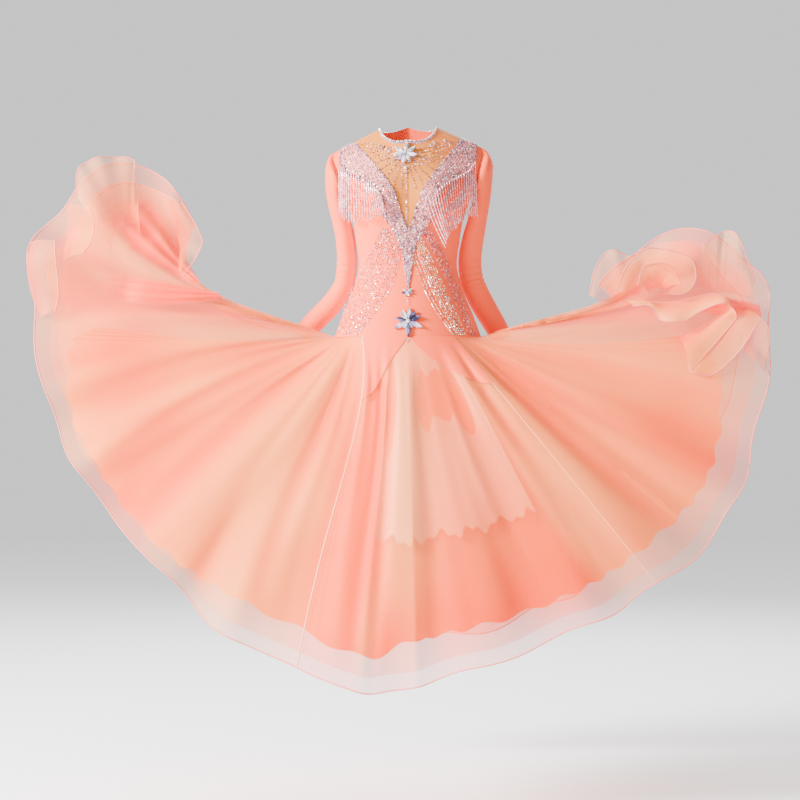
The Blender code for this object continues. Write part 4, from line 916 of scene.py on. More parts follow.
for side, word, sections in ((-1, "left", SLEEVE_LEFT), (1, "right", SLEEVE_RIGHT)):
    rings = sleeve(side, sections)
    piece = grid_object("jersey_sleeve_" + word, rings, flip=side < 0, closed=True)
    dress(piece, JERSEY, "jersey", "sleeve_" + word)
    width = 0.20 if side < 0 else 0.215
    print("sleeve", word, "area:", round(area_of(rings) * RING / (RING - 1), 3), "m2")


# %% [markdown]
# ## Skirt
#
# The outer skirt is cut in seven gores. Each is a fine grid on the skirt surface, evenly spaced
# along the hem, so that no part of the hem is coarser than another. The front godet opens from
# one point, so its places round the hip are drawn together towards the top.


# %% Outer skirt
def gore(first, last, step=0.008, rows=80, low=1.0):
    """A gore as a grid: places along the hem by places from hip to hem. Also its painted fold
    shade.
    """
    turns = hem_turns(first, last, step)[None, :]
    down = np.linspace(0, low, rows)[:, None]
    return folded_point(turns, down), shaded_folds(turns, down)


def godet(step=0.008, rows=80, low=1.0):
    """The front godet: it opens from one point between the two tails."""
    turns = hem_turns(RIGHT_SEAM - 1, LEFT_SEAM, step)[None, :]
    down = np.linspace(0.002, low, rows)[:, None]
    turns = turns * np.minimum(down / TAIL_DOWN, 1.0)
    return folded_point(turns, down), shaded_folds(turns, down)


GORES = [
    ("skirt_front_godet", None, None, (0.97, 0.86), 0.415),
    ("skirt_front_left", LEFT_SEAM, LEFT_CREST, (1.80, 0.86), 0.61),
    ("skirt_side_left", LEFT_CREST, LEFT_BACK_SEAM, (1.33, 0.80), 0.435),
    ("skirt_back_left", LEFT_BACK_SEAM, BACK_SEAM, (0.66, 0.82), 0.32),
    ("skirt_back_right", BACK_SEAM, RIGHT_BACK_SEAM, (0.63, 0.82), 0.31),
    ("skirt_side_right", RIGHT_BACK_SEAM, RIGHT_CREST, (1.21, 0.76), 0.375),
    ("skirt_front_right", RIGHT_CREST, RIGHT_SEAM, (1.30, 0.78), 0.405),
]
outer_grids = {}
for name, first, last, flat, area in GORES:
    grid, tone = godet() if first is None else gore(first, last)
    outer_grids[name] = grid
    piece = dress(grid_object("organza_" + name, grid, tone=tone), ORGANZA, "organza", name)
    hem = float(np.linalg.norm(np.diff(grid[-1], axis=0), axis=1).sum())
    print(name, "area", round(area_of(grid), 3), "hem", round(hem, 2))


# %% [markdown]
# ## Second layer
#
# A second layer of the same organza lies a little inside the first and ends higher, which leaves
# the outermost rim sheer. It could have a surface of its own, but two such surfaces would cut
# through each other. Moving the first one inwards along its normals keeps them apart.


# %% Second layer
def inside_layer(grid, depth):
    """The same sheet moved inwards, further where it hangs free."""
    share = ease(np.linspace(0, 1, len(grid)) / 0.4)[:, None, None]
    return grid - grid_normals(grid) * (0.0015 + depth * share)


SECOND_LOW = 0.955
for name, first, last, flat, area in GORES:
    grid, tone = godet(low=SECOND_LOW) if first is None else gore(first, last, low=SECOND_LOW)
    second = inside_layer(grid, 0.006)
    piece = dress(grid_object("under_" + name, second, tone=tone), ORGANZA, "organza")


# %% [markdown]
# ## Lining skirt
#
# An opaque lining hangs inside both sheer layers and gives the skirt its depth of colour. It is
# shorter and calmer, so it has a table of its own instead of a copy of the outer surface. It is one
# closed ring, and its top lies just inside the hip seam.


# %% Lining skirt
def lining_grid(step=0.012, rows=60):
    """The lining skirt: its own meridians, soft folds that fade out at the hip, and painted fold
    shade.
    """
    turns = hem_turns(0.0, 1.0, step)[:-1][None, :]
    longest = 1 - 0.008 * np.sin(wave_phase(turns) * 2.5)
    down = np.linspace(0, 1, rows)[:, None] * longest
    turns, down = np.broadcast_arrays(turns, down)
    hip, first_pull, second_pull, hem = skirt_controls(turns, LINING)[:4]
    inside = hip * np.array([0.9885, 0.9885, 1.0])
    inside[..., 2] -= 0.0022
    grid = bezier(inside, first_pull + inside - hip, second_pull, hem, down[..., None])
    phase = wave_phase(turns)[..., None]
    fold = 0.006 * ease((down[..., None] - 0.2) / 0.8) * ease(phase / CALM_PHASE)
    grid = grid + seam_pull(turns, down) + fold * np.sin(2 * phase) * np.array([0.0, -1.0, 0.0])
    return grid, shaded_folds(turns + 0.004, down)


lining, lining_fold_shade = lining_grid()
lining_piece = grid_object("lining", lining, closed=True, tone=lining_fold_shade)
dress(lining_piece, LINING_CLOTH, "lining", "lining_skirt")
print("lining area:", round(area_of(lining), 3), "m2")


# %% [markdown]
# ## Pale frill
#
# A short pale layer hangs between the godet and the lining, and shows through the godet as a
# lighter place with a wavy lower edge. A paler dye on the godet itself would have no such edge, so
# it is a sheet of its own.


# %% Pale frill under the godet
def frill_grid(step=0.006, rows=50):
    """A short layer between the godet and the lining, with a wavy hem and painted fold shade."""
    turns = hem_turns(-0.078, 0.052, step)[None, :]
    along = arc_at(np.mod(turns, 1.0))
    wavy = 0.59 + 0.012 * np.sin(along * 60) + 0.008 * np.sin(along * 143)
    down = 0.004 + np.linspace(0, 1, rows)[:, None] * (wavy - 0.004 - 0.35 * turns)
    return inside_layer(folded_point(turns, down), 0.010), folds(turns, down)


frill, frill_fold_shade = frill_grid()
frill_piece = dress(grid_object("godet_frill", frill, tone=frill_fold_shade), FRILL_CLOTH, "lining")
print("frill area:", round(area_of(frill), 3), "m2")


# %% [markdown]
# ## Flounces
#
# Each wing carries curled flounces, the edges of cloth that is gathered up. A flounce is a ribbon
# between two curves: the root, where it leaves the wing, and the free edge, which curls forward.
# Both curves are short tables of places in millimetres, and the cloth between them bulges like
# a petal. The root is then seated on the wing. A gathered fold is a deep ribbon with soft ends,
# where the cloth is pulled together. Its darker organza and its streaks are painted shade of the
# gather, partly also the deeper colour of its many layers.


# %% Flounce tables
Curl = namedtuple("Curl", "name node material bulge ruffle root edge")
FLOUNCES = [
    Curl("left_crown", "flounce_left_inner", "sheer", 20, 4,
         [(-700, -85, -250), (-690, -85, -210), (-680, -85, -190), (-668, -85, -185),
          (-655, -80, -190), (-640, -80, -205), (-630, -80, -235)],
         [(-775, -120, -130), (-772, -130, -70), (-742, -135, -45), (-695, -135, -37),
          (-645, -130, -40), (-640, -120, -75), (-637, -110, -108)]),
    Curl("left_side", None, "sheer", 14, 2,
         [(-805, -90, -146), (-809, -95, -200), (-814, -95, -243), (-814, -90, -280)],
         [(-748, -125, -153), (-739, -140, -193), (-748, -140, -238), (-762, -125, -262)]),
    Curl("left_hem", "flounce_left_outer", "sheer", 12, 2,
         [(-890, -105, -233), (-896, -110, -295), (-890, -110, -358), (-866, -115, -412)],
         [(-828, -130, -231), (-823, -145, -280), (-821, -145, -346), (-831, -135, -398)]),
    Curl("left_flap", None, "sheer", 16, 3,
         [(-570, -50, -130), (-560, -50, -170), (-555, -50, -210), (-548, -50, -250),
          (-545, -50, -300)],
         [(-536, -70, -138), (-502, -80, -190), (-486, -80, -232), (-504, -75, -272),
          (-530, -65, -310)]),
    Curl("left_gather_top", None, "deep", 14, 1,
         [(-640, -100, -85), (-605, -95, -110), (-570, -85, -165), (-535, -80, -245),
          (-492, -75, -323)],
         [(-760, -116, -200), (-710, -125, -235), (-650, -125, -272), (-570, -115, -310),
          (-494, -85, -335)]),
    Curl("left_gather_low", None, "deep", 10, 1,
         [(-745, -120, -300), (-680, -118, -305), (-610, -112, -315), (-550, -100, -326),
          (-450, -75, -349)],
         [(-745, -121, -370), (-690, -128, -378), (-620, -126, -386), (-540, -112, -386),
          (-440, -80, -368)]),
    Curl("right_gather", None, "deep", 8, 1,
         [(655, -100, -386), (690, -100, -366), (722, -100, -360), (775, -100, -366),
          (822, -95, -378)],
         [(660, -100, -390), (700, -110, -406), (745, -115, -414), (790, -110, -416),
          (828, -100, -418)]),
    Curl("right_peak", None, "sheer", 12, 2,
         [(690, -95, -333), (725, -95, -345), (772, -95, -357), (796, -95, -369)],
         [(690, -105, -241), (718, -110, -222), (758, -110, -208), (786, -110, -251),
          (812, -105, -329)]),
    Curl("right_lobe", None, "sheer", 10, 2,
         [(453, -70, -374), (477, -75, -369), (512, -80, -364), (548, -85, -350)],
         [(430, -80, -359), (439, -90, -303), (463, -95, -260), (486, -100, -252),
          (512, -100, -262), (540, -100, -272)]),
    Curl("right_cup", "flounce_right_inner", "sheer", 18, 3,
         [(545, -85, -360), (560, -85, -335), (575, -85, -325), (590, -85, -325), (608, -85, -332),
          (616, -85, -345), (608, -90, -358), (590, -90, -362)],
         [(488, -120, -350), (512, -135, -292), (548, -145, -255), (600, -145, -252),
          (660, -140, -276), (674, -140, -320), (645, -150, -356), (590, -155, -352)]),
    Curl("right_heart", None, "dense", 10, 2,
         [(568, -90, -350), (580, -90, -340), (592, -90, -338), (604, -90, -344)],
         [(540, -120, -335), (556, -130, -292), (612, -132, -288), (640, -125, -330)]),
    Curl("right_lip", None, "dense", 20, 3,
         [(500, -95, -370), (560, -100, -372), (620, -100, -372), (670, -100, -362),
          (715, -100, -352), (745, -100, -365), (735, -100, -400), (690, -100, -430),
          (640, -100, -460)],
         [(530, -130, -385), (568, -145, -384), (594, -155, -418), (640, -160, -420),
          (688, -160, -394), (736, -160, -380), (762, -155, -404), (752, -150, -432),
          (660, -150, -535)]),
    Curl("right_flap", "flounce_right_outer", "sheer", 18, 4,
         [(640, -90, -450), (690, -90, -440), (730, -90, -420), (765, -90, -395), (795, -90, -390),
          (800, -90, -430), (790, -90, -490)],
         [(656, -140, -540), (710, -145, -545), (770, -150, -492), (816, -145, -424),
          (838, -135, -438), (842, -125, -490), (836, -115, -545)]),
]


# %% [markdown]
# ## Seating the flounces
#
# A root as listed would float before the wing or sink into it. So the cloth of the wing is
# looked up near each point of the root, and the ribbon is moved to it. The free edge moves along
# and is kept in front of the wing. Both moves are steadied by a running mean, because the pleats
# of the wing would make the ribbon jump.


# %% Flounce cloth
GATHERS, GATHER_DEPTH = 3.5, 0.003
CLOTH_REACH, EDGE_REACH, EDGE_LIFT = 0.009, 0.010, 0.004
STEADY = 5


def cloth_front(points, cloth):
    """The y of the foremost cloth near each point in x and z, and how far off the nearest is."""
    away = np.linalg.norm(cloth[None, :, ::2] - points[:, None, ::2], axis=-1)
    nearest = away.min(axis=1)
    close = away < np.maximum(CLOTH_REACH, nearest + 0.003)[:, None]
    return np.where(close, cloth[None, :, 1], 1.0).min(axis=1), nearest


def steadied(values):
    """A running mean over STEADY values on each side."""
    window = np.ones(2 * STEADY + 1) / (2 * STEADY + 1)
    return np.convolve(np.pad(values, STEADY, mode="edge"), window, mode="valid")


def seated(root, edge, side):
    """Root and edge moved in y: the root onto the wing, the edge to stay in front of it."""
    gores = [outer_grids["skirt_front_" + side], outer_grids["skirt_side_" + side]]
    cloth = np.concatenate(gores, axis=1).reshape(-1, 3)
    shift = steadied(cloth_front(root, cloth)[0] - root[:, 1])
    root[:, 1] += shift
    edge[:, 1] += shift
    front, away = cloth_front(edge, cloth)
    ahead = np.minimum(edge[:, 1], front - EDGE_LIFT)
    edge[:, 1] = steadied(np.where(away < EDGE_REACH, ahead, edge[:, 1]))
    return root, edge


def curl_grid(curl, rows=28, columns=150):
    """root * (1 - t) + edge * t, pushed forward by bulge * sin(pi t^0.8) + ruffle * t^2 * waves.

    A gathered fold is pushed by GATHER_DEPTH * sin(2 pi GATHERS t) as well, which pleats it.
    """
    at = np.linspace(0, 1, columns)
    root = smooth(np.linspace(0, 1, len(curl.root)), np.array(curl.root) / 1000, at)
    edge = smooth(np.linspace(0, 1, len(curl.edge)), np.array(curl.edge) / 1000, at)
    root, edge = (line[None] for line in seated(root, edge, curl.name.split("_")[0]))
    t = np.linspace(0, 1, rows)[:, None, None]
    grid = root * (1 - t) + edge * t
    length = np.linalg.norm(np.diff(edge[0], axis=0), axis=1).sum()
    waves = 2 * math.pi * max(1.0, round(length / 0.11)) * at
    ripple = np.sin(waves)[None, :, None] + 0.6 * np.sin(1.7 * waves + 1)[None, :, None]
    push = curl.bulge / 1000 * np.sin(math.pi * t**0.8) + curl.ruffle / 1000 * t**2 * ripple
    if curl.material == "deep":
        push = push + GATHER_DEPTH * np.sin(2 * math.pi * GATHERS * t) * np.sin(math.pi * t)
    return grid + push * np.array([0.0, -1.0, 0.25])


flounce_grids = {}
for curl in FLOUNCES:
    grid = curl_grid(curl)
    flounce_grids[curl.name] = grid
    rise = np.linspace(0, 1, len(grid))[:, None]
    # Fold heights for the dye: a sheer flounce is darker towards the root and paler towards its
    # free edge; a gathered fold gets painted shade in the valleys of its pleats.
    root_to_edge_ramp = 1.2 * (2 * rise - 1) + 0.2
    pleat_shade = np.sin(2 * math.pi * GATHERS * rise) + 0.3 * np.cos(2 * math.pi * 9 * rise)
    flounce_fold_shade = np.broadcast_to(pleat_shade if curl.material == "deep" else root_to_edge_ramp, grid.shape[:2])
    material = {"sheer": ORGANZA, "dense": ORGANZA_DENSE, "deep": ORGANZA_GATHER_SHADE}[curl.material]
    piece = grid_object("organza_flounce_" + curl.name, grid, tone=flounce_fold_shade)
    if curl.material == "deep":
        along = ease(np.linspace(0, 1, grid.shape[1])[None] / 0.45)
        across = ease(np.minimum(rise, 1 - rise) / 0.3)
        fade = piece.data.attributes.new("fade", "FLOAT", "POINT")
        fade.data.foreach_set("value", (along * across).astype(np.float32).ravel())
    dress(piece, material, "organza", *([curl.node] if curl.node else []))
    width = float(np.linalg.norm(np.diff(grid[-1], axis=0), axis=1).sum())
    depth = float(np.linalg.norm(np.diff(grid, axis=0), axis=-1).sum(axis=0).max())
    area = area_of(grid)
    print(curl.name, "area", round(area, 4), "edge", round(width, 2), "depth", round(depth, 3))
    share = min(1.0, max(0.31, area / (width * depth)))


# %% [markdown]
# ## Hems and seams
#
# A narrow stiff braid is sewn into every free edge of the organza. It is a thin tube along the
# edge. The gore seams are finer cords of the same kind.


# %% Hem braid and seams
HEM_RADIUS, CURL_HEM_RADIUS = 0.0016, 0.0014
FRONT_SEAM_RADIUS, SEAM_RADIUS = 0.0018, 0.0007
edges = [tube(grid[-1], HEM_RADIUS) for grid in outer_grids.values()]
for curl in FLOUNCES:
    if curl.material != "deep":
        edges.append(tube(flounce_grids[curl.name][-1], CURL_HEM_RADIUS))
dress(tubes_object("hem_braid", edges), HEM_BRAID, "organza")
seam_lines = [tube(outer_grids["skirt_front_left"][:, 0], FRONT_SEAM_RADIUS)]
for name in ("side_left", "back_left", "back_right", "side_right", "front_right"):
    seam_lines.append(tube(outer_grids["skirt_" + name][:, -1], SEAM_RADIUS, 5))
dress(tubes_object("gore_seams", seam_lines), SEAM_CORD, "organza")
print("hem and seam cords:", len(edges) + len(seam_lines))


# %% [markdown]
# ## Stoned bands
#
# The bands follow the V on both sides, and their stones are glued on in rows. A real stone is a
# low faceted cone with a flat top. Here it has a ring on the cloth, the same ring a little above
# it, and a smaller flat top. One object holds all stones of one tone, as thousands of separate
# objects would be slow.


# %% Stones
def on_front(x, z, lift):
    """Points on the front of the body form and their directions, moved out by lift."""
    x, z = np.asarray(x, float), np.asarray(z, float)
    y = front_y(x, z)
    dx = (front_y(x + 0.001, z) - y) / 0.001
    dz = (front_y(x, z + 0.001) - y) / 0.001
    normal = unit(np.stack([dx, -np.ones_like(x), dz], axis=-1))
    return np.stack([x, y, z], axis=-1) + normal * lift, normal


STONE_RISE = 0.7


def gem_shell(points, normals, radius, sides=6):
    """Corners and faces of faceted stones: a ring, the same ring above it, and a smaller top."""
    points, normals = np.asarray(points), unit(np.asarray(normals))
    radius = np.broadcast_to(np.asarray(radius, float), len(points))[:, None, None]
    helper = np.where(np.abs(normals[:, :1]) > 0.9, [0.0, 0.0, 1.0], [1.0, 0.0, 0.0])
    a = unit(np.cross(normals, helper))
    b = np.cross(normals, a)
    angle = np.linspace(0, 2 * math.pi, sides, endpoint=False)[None, :, None]
    circle = np.cos(angle) * a[:, None] + np.sin(angle) * b[:, None]
    up = normals[:, None]
    base = points[:, None] + radius * circle
    girdle = points[:, None] + radius * (circle + 0.3 * STONE_RISE * up)
    top = points[:, None] + radius * (0.52 * circle + STONE_RISE * up)
    verts = np.concatenate([base, girdle, top], axis=1).reshape(-1, 3)
    one = []
    for low in (0, sides):
        for k in range(sides):
            ahead = (k + 1) % sides
            one.append([low + k, low + ahead, low + sides + ahead, low + sides + k])
    flat = 2 * sides
    one += [[flat, flat + k, flat + k + 1, flat + k + 2] for k in range(1, sides - 2, 2)]
    faces = (np.array(one)[None] + 3 * sides * np.arange(len(points))[:, None, None]).reshape(-1, 4)
    return verts, faces


def gems(name, points, normals, radius, material, sides=6):
    """One object of faceted stones at points, each standing along its normal."""
    obj = make_mesh(name, *gem_shell(points, normals, radius, sides))
    obj.data.shade_flat()
    return dress(obj, material, "stones")


def evenly(line, step):
    """Points along a broken line at an even step."""
    line = np.asarray(line, float)
    steps = np.linalg.norm(np.diff(line, axis=0), axis=1)
    length = np.concatenate([[0], np.cumsum(steps)])
    at = np.linspace(0, length[-1], max(2, round(length[-1] / step) + 1))
    return np.stack([np.interp(at, length, line[:, k]) for k in range(line.shape[1])], axis=-1)


BAND_TIP_RISE, BAND_FULL_RISE = 0.33, 0.63
rng = np.random.default_rng(7)


def band_line(side, share, count):
    """A line along the band at a share of its width, from its lower tip to the shoulder."""
    rise = np.linspace(BAND_TIP_RISE, 1.995, count)
    inner = np.where(rise > V_BOTTOM_RISE, cut_angle(rise, 1), 0.0)
    outer = cut_angle(np.maximum(rise, BAND_FULL_RISE), 2)
    narrowing = np.clip((rise - BAND_TIP_RISE) / (BAND_FULL_RISE - BAND_TIP_RISE), 0, 1)
    outer = inner + (outer - inner) * narrowing
    return body_point(side * (inner + (outer - inner) * share), rise)


def stone_bed(name, lines, step, radius, materials, lift=0.0016, share=0.97):
    """Stones at an even step along each line, jittered, with tones picked at random."""
    spots = np.concatenate([evenly(line, step) for line in lines])
    spots = spots[rng.random(len(spots)) < share]
    x = spots[:, 0] + rng.normal(0, step * 0.12, len(spots))
    z = spots[:, -1] + rng.normal(0, step * 0.12, len(spots))
    place, face = on_front(x, z, lift)
    face = unit(face + rng.normal(0, 0.16, face.shape))
    size = radius * rng.uniform(0.75, 1.15, len(spots))
    tone = rng.choice(len(materials), len(spots))
    for k, material in enumerate(materials):
        chosen = tone == k
        gems(f"{name}_{k}", place[chosen], face[chosen], size[chosen], material)
    return len(spots)


for side, word in ((-1, "left"), (1, "right")):
    rows = [band_line(side, share, 120) for share in np.linspace(0, 1, 9)]
    grid = np.stack(rows, axis=1)
    normal = grid_normals(grid) * side
    piece = grid_object("satin_band_" + word, grid + normal * 0.0014, flip=side < 0)
    dress(piece, BAND, "stoned_band", "band_" + word)
    lines = [band_line(side, share, 120) for share in np.linspace(0.03, 0.97, 12)]
    tones = [SILVER_STONES, PINK_STONES, LILAC_STONES, PINK_STONES, DARK_STONES]
    count = stone_bed("band_stones_" + word, lines, 0.0050, 0.0021, tones)
    edge = [band_line(side, 0.0, 120), band_line(side, 1.0, 120)]
    count += stone_bed("band_edge_" + word, edge, 0.0046, 0.0021, [SILVER_STONES, DARK_STONES])
    print("stones on the", word, "band:", count)


# %% [markdown]
# ## Sheaves of stones to the hips
#
# Below the crossing the stones fan out over each hip in sheaves of lines. A sheaf lies between
# two border lines. Each stone line is a mix of the two borders, and some gaps are left between.


# %% Stone sheaves
SHEAF_LEFT = ([(-0.016, -0.215), (-0.027, -0.305), (-0.062, -0.378), (-0.118, -0.450)],
              [(-0.060, -0.200), (-0.104, -0.284), (-0.142, -0.355), (-0.170, -0.446)])
SHEAF_RIGHT = ([(0.006, -0.240), (0.022, -0.300), (0.055, -0.378), (0.104, -0.450)],
               [(0.046, -0.195), (0.090, -0.266), (0.116, -0.325), (0.160, -0.450)])


def sheaf_lines(borders, shares, count=60):
    """Lines between two borders: (1 - share) * inner + share * outer, each a smooth curve."""
    keys = np.linspace(0, 1, len(borders[0]))
    at = np.linspace(0, 1, count)
    inner, outer = (smooth(keys, [list(spot) for spot in border], at) for border in borders)
    lines = []
    for share in shares:
        mixed = inner * (1 - share) + outer * share
        lines.append(on_front(mixed[:, 0], mixed[:, 1], 0)[0])
    return lines


dense_groups = [np.linspace(0.0, 0.27, 5), np.linspace(0.36, 0.63, 5), np.linspace(0.71, 1.0, 6)]
dense_left = np.concatenate(dense_groups)
count = stone_bed("sheaf_left", sheaf_lines(SHEAF_LEFT, dense_left), 0.0052, 0.0017,
                  [PINK_STONES, SILVER_STONES, LILAC_STONES, DARK_STONES], lift=0.0009, share=0.95)
thin_right = np.concatenate([[0.0, 0.09], np.linspace(0.20, 0.56, 7)])
count += stone_bed("sheaf_right_gold", sheaf_lines(SHEAF_RIGHT, thin_right), 0.0050, 0.0018,
                   [GOLD_STONES, SILVER_STONES, GOLD_STONES], lift=0.0009, share=0.97)
side_right = np.linspace(0.72, 0.99, 6)
count += stone_bed("sheaf_right_side", sheaf_lines(SHEAF_RIGHT, side_right), 0.0052, 0.0017,
                   [DARK_STONES, PINK_STONES, SILVER_STONES], lift=0.0009, share=0.95)
centre_lines = [[(-0.012, -0.27), (0.0, -0.335)], [(0.010, -0.27), (0.001, -0.335)],
                [(-0.004, -0.26), (-0.001, -0.34)]]
crossing = [on_front(*np.array(line).T, 0)[0] for line in centre_lines]
count += stone_bed("waist_crossing", crossing, 0.0036, 0.0014,
                   [SILVER_STONES, LILAC_STONES], lift=0.0009)
print("stones in the sheaves:", count)


# %% [markdown]
# ## Stones on the net
#
# Rows of single stones hang over the net like a collar, with rays below a flower. A line of
# stones runs from the flower to the foot of the V.


# %% Collar stones
COLLAR_DIPS = [-0.012, -0.022, -0.032, -0.043, -0.055]
RAY_ENDS = [(-0.083, -0.047), (-0.070, -0.066), (-0.052, -0.083), (-0.034, -0.098),
            (-0.018, -0.108), (0.018, -0.108), (0.034, -0.098), (0.050, -0.083),
            (0.064, -0.066), (0.078, -0.047)]
FLOWER = (-0.007, -0.0216)
collar = []
for dip in COLLAR_DIPS:
    edge_x = 0.122 + 0.9 * (dip + 0.012)
    x = np.linspace(-edge_x, edge_x, 60)
    z = dip + (shoulder_height(x) - dip) * (x / 0.150) ** 2
    collar.append(on_front(x, z, 0)[0])
count = stone_bed("collar_rows", collar, 0.0078, 0.0019, [SILVER_STONES, GOLD_STONES, DARK_STONES])
rays = []
share = np.linspace(0.28, 1, 12)
for x, z in RAY_ENDS:
    ray_x = FLOWER[0] + (x - FLOWER[0]) * share
    ray_z = FLOWER[1] + (z - FLOWER[1]) * share
    rays.append(on_front(ray_x, ray_z, 0)[0])
ray_tones = [SILVER_STONES, DARK_STONES, DARK_STONES]
count += stone_bed("collar_rays", rays, 0.0066, 0.0017, ray_tones, share=1.0)
z = np.linspace(-0.060, -0.200, 60)
centre_line = on_front(-0.004 + 0 * z, z, 0)[0]
count += stone_bed("centre_line", [centre_line], 0.0036, 0.0015, [SILVER_STONES], share=1.0)
CLUSTERS = [(-0.060, -0.006), (-0.052, -0.012), (-0.044, -0.016),
            (0.062, 0.006), (0.056, -0.002), (0.088, 0.012)]
place, face = on_front(*np.array(CLUSTERS).T, 0.0016)
gems("collar_clusters", place, face, 0.0045, SILVER_STONES, sides=8)
print("stones on the net:", count + len(CLUSTERS))


# %% [markdown]
# ## Flower, waist ornament and brooch
#
# A marquise stone is pointed at both ends. Half its width at a share t of its length is
# w / 2 * sin(pi t)^0.8, and its top has two ridges beside the middle. Petals stand round a centre,
# each at its own angle.


# %% Marquise stones
def marquise_shell(centre, hour, inner, length, width, steps=9):
    """Corners and faces of one pointed stone: its outline rises to two ridges beside the middle."""
    middle, face = on_front([centre[0]], [centre[1]], 0.0030)
    face = unit(face[0])
    right = unit(np.cross(np.array([0.0, 0.0, 1.0]), -face))
    right = -right if right[0] < 0 else right
    up = np.cross(right, face)
    up = -up if up[2] < 0 else up
    t = np.linspace(0, 1, steps)
    half = width / 2 * np.sin(math.pi * t)[:, None] ** 0.8
    angle = math.radians(hour)
    ahead = math.sin(angle) * right + math.cos(angle) * up
    beside = math.cos(angle) * right - math.sin(angle) * up
    spine = middle[0] + ahead * (inner + length * t)[:, None]
    rise = face * 0.35 * width
    rows = [spine - beside * half, spine - beside * 0.45 * half + rise,
            spine + beside * 0.45 * half + rise, spine + beside * half,
            spine - face * 0.2 * width]
    k = np.arange(steps - 1)
    last = np.stack([k + 4 * steps, k + 4 * steps + 1, k + 1, k], axis=-1)
    return np.concatenate(rows), np.concatenate([grid_faces(5, steps), last])


def ornament(name, node, centre, petals, drops, core):
    """Petals at given hours, round drops below and a round stone in the middle, as one object."""
    shells = []
    for hour, length, width, tone in petals:
        shells.append((marquise_shell(centre, hour, core, length, width), tone))
    for fall, size, tone in drops + [(0.0, core * 1.3, 0)]:
        spot, face = on_front([centre[0]], [centre[1] - fall], 0.0034)
        shells.append((gem_shell(spot, face, size, sides=8), tone))
    starts = np.cumsum([0] + [len(verts) for (verts, faces), tone in shells])
    verts = np.concatenate([verts for (verts, faces), tone in shells])
    faces = np.concatenate([shell[1] + start for (shell, tone), start in zip(shells, starts)])
    tones = np.concatenate([np.full(len(shell[1]), tone) for shell, tone in shells])
    obj = make_mesh(name, verts, faces)
    obj.data.shade_flat()
    dress(obj, CUT_SILVER, "stones", node)
    obj.data.materials.append(CUT_LILAC)
    obj.data.materials.append(CUT_DARK)
    obj.data.polygons.foreach_set("material_index", tones)
    print(name, "petals:", len(petals), "drops:", len(drops))


FLOWER_PETALS = [(8, 0.026, 0.011, 0), (58, 0.026, 0.011, 0), (104, 0.026, 0.011, 1),
                 (148, 0.022, 0.010, 0), (184, 0.026, 0.012, 0), (218, 0.022, 0.010, 1),
                 (256, 0.026, 0.011, 0), (302, 0.026, 0.011, 0)]
FLOWER_DROPS = [(0.037, 0.0042, 0), (0.047, 0.0032, 0)]
ornament("collar_flower", "neck_flower", FLOWER, FLOWER_PETALS, FLOWER_DROPS, 0.0042)
BROOCH = (0.0, -0.420)
BROOCH_PETALS = [(-24, 0.025, 0.009, 0), (8, 0.028, 0.010, 1), (38, 0.026, 0.009, 2),
                 (68, 0.029, 0.012, 2), (114, 0.032, 0.013, 1), (180, 0.034, 0.013, 2),
                 (242, 0.034, 0.013, 1), (284, 0.028, 0.011, 2), (318, 0.024, 0.009, 0),
                 (150, 0.016, 0.008, 0), (208, 0.016, 0.008, 0)]
BROOCH_DROPS = [(0.043, 0.0030, 0), (0.050, 0.0036, 2)]
ornament("hip_brooch_stones", "hip_brooch", BROOCH, BROOCH_PETALS, BROOCH_DROPS, 0.0044)
WAIST_PETALS = [(50, 0.011, 0.007, 0), (95, 0.011, 0.007, 2), (150, 0.008, 0.006, 0),
                (210, 0.008, 0.006, 0), (265, 0.011, 0.007, 2), (310, 0.011, 0.007, 0)]
WAIST_DROPS = [(0.014, 0.0022, 0), (0.021, 0.0018, 0), (0.027, 0.0018, 0)]
ornament("waist_stones", "waist_motif", (-0.002, -0.352), WAIST_PETALS, WAIST_DROPS, 0.0028)


# %% [markdown]
# ## Neckline baguettes
#
# The neckline is edged with long cut stones, set in two rows end to end. Each is a flat block
# with a bevelled top, turned to follow the edge.


# %% Baguettes
def neckline_edge(front, count=200):
    """The neckline: places across the neck, at the height where the yoke or the back ends."""
    x = NECK_HALF_WIDTH * np.sin(np.linspace(-1, 1, count) * math.pi / 2) * 0.999
    rise = 2 - neckline_drop(x, NECKLINE_DROP_FRONT if front else NECKLINE_DROP_BACK)
    angle = np.arcsin(np.clip(x / form_half_width(rise), -1, 1))
    return body_point(angle, rise, front=front)


def baguettes(name, path, length, width, height, material, *nodes):
    """Blocks along a path: base corners on the cloth, and a smaller table above them."""
    spots = evenly(path, length * 1.3)
    ahead = unit(np.gradient(spots, axis=0))
    out = unit(np.stack([spots[:, 0] * 0.6, spots[:, 1], 0 * spots[:, 0] + 0.03], axis=-1))
    beside = unit(np.cross(ahead, out))
    out = np.cross(beside, ahead)
    corners = []
    for share, level in ((1.0, 0.0), (1.0, 0.5), (0.6, 1.0)):
        for a, b in ((-1, -1), (1, -1), (1, 1), (-1, 1)):
            corner = spots + ahead * a * share * length / 2
            corner = corner + beside * b * share * width / 2
            corners.append(corner + out * height * level)
    verts = np.stack(corners, axis=1).reshape(-1, 3)
    one = []
    for ring in (0, 4):
        for k in range(4):
            one.append([ring + k, ring + (k + 1) % 4, ring + 4 + (k + 1) % 4, ring + 4 + k])
    one += [[8, 9, 10, 11], [3, 2, 1, 0]]
    faces = (np.array(one)[None] + 12 * np.arange(len(spots))[:, None, None]).reshape(-1, 4)
    obj = make_mesh(name, verts, faces)
    obj.data.shade_flat()
    return dress(obj, material, "stones", *nodes)


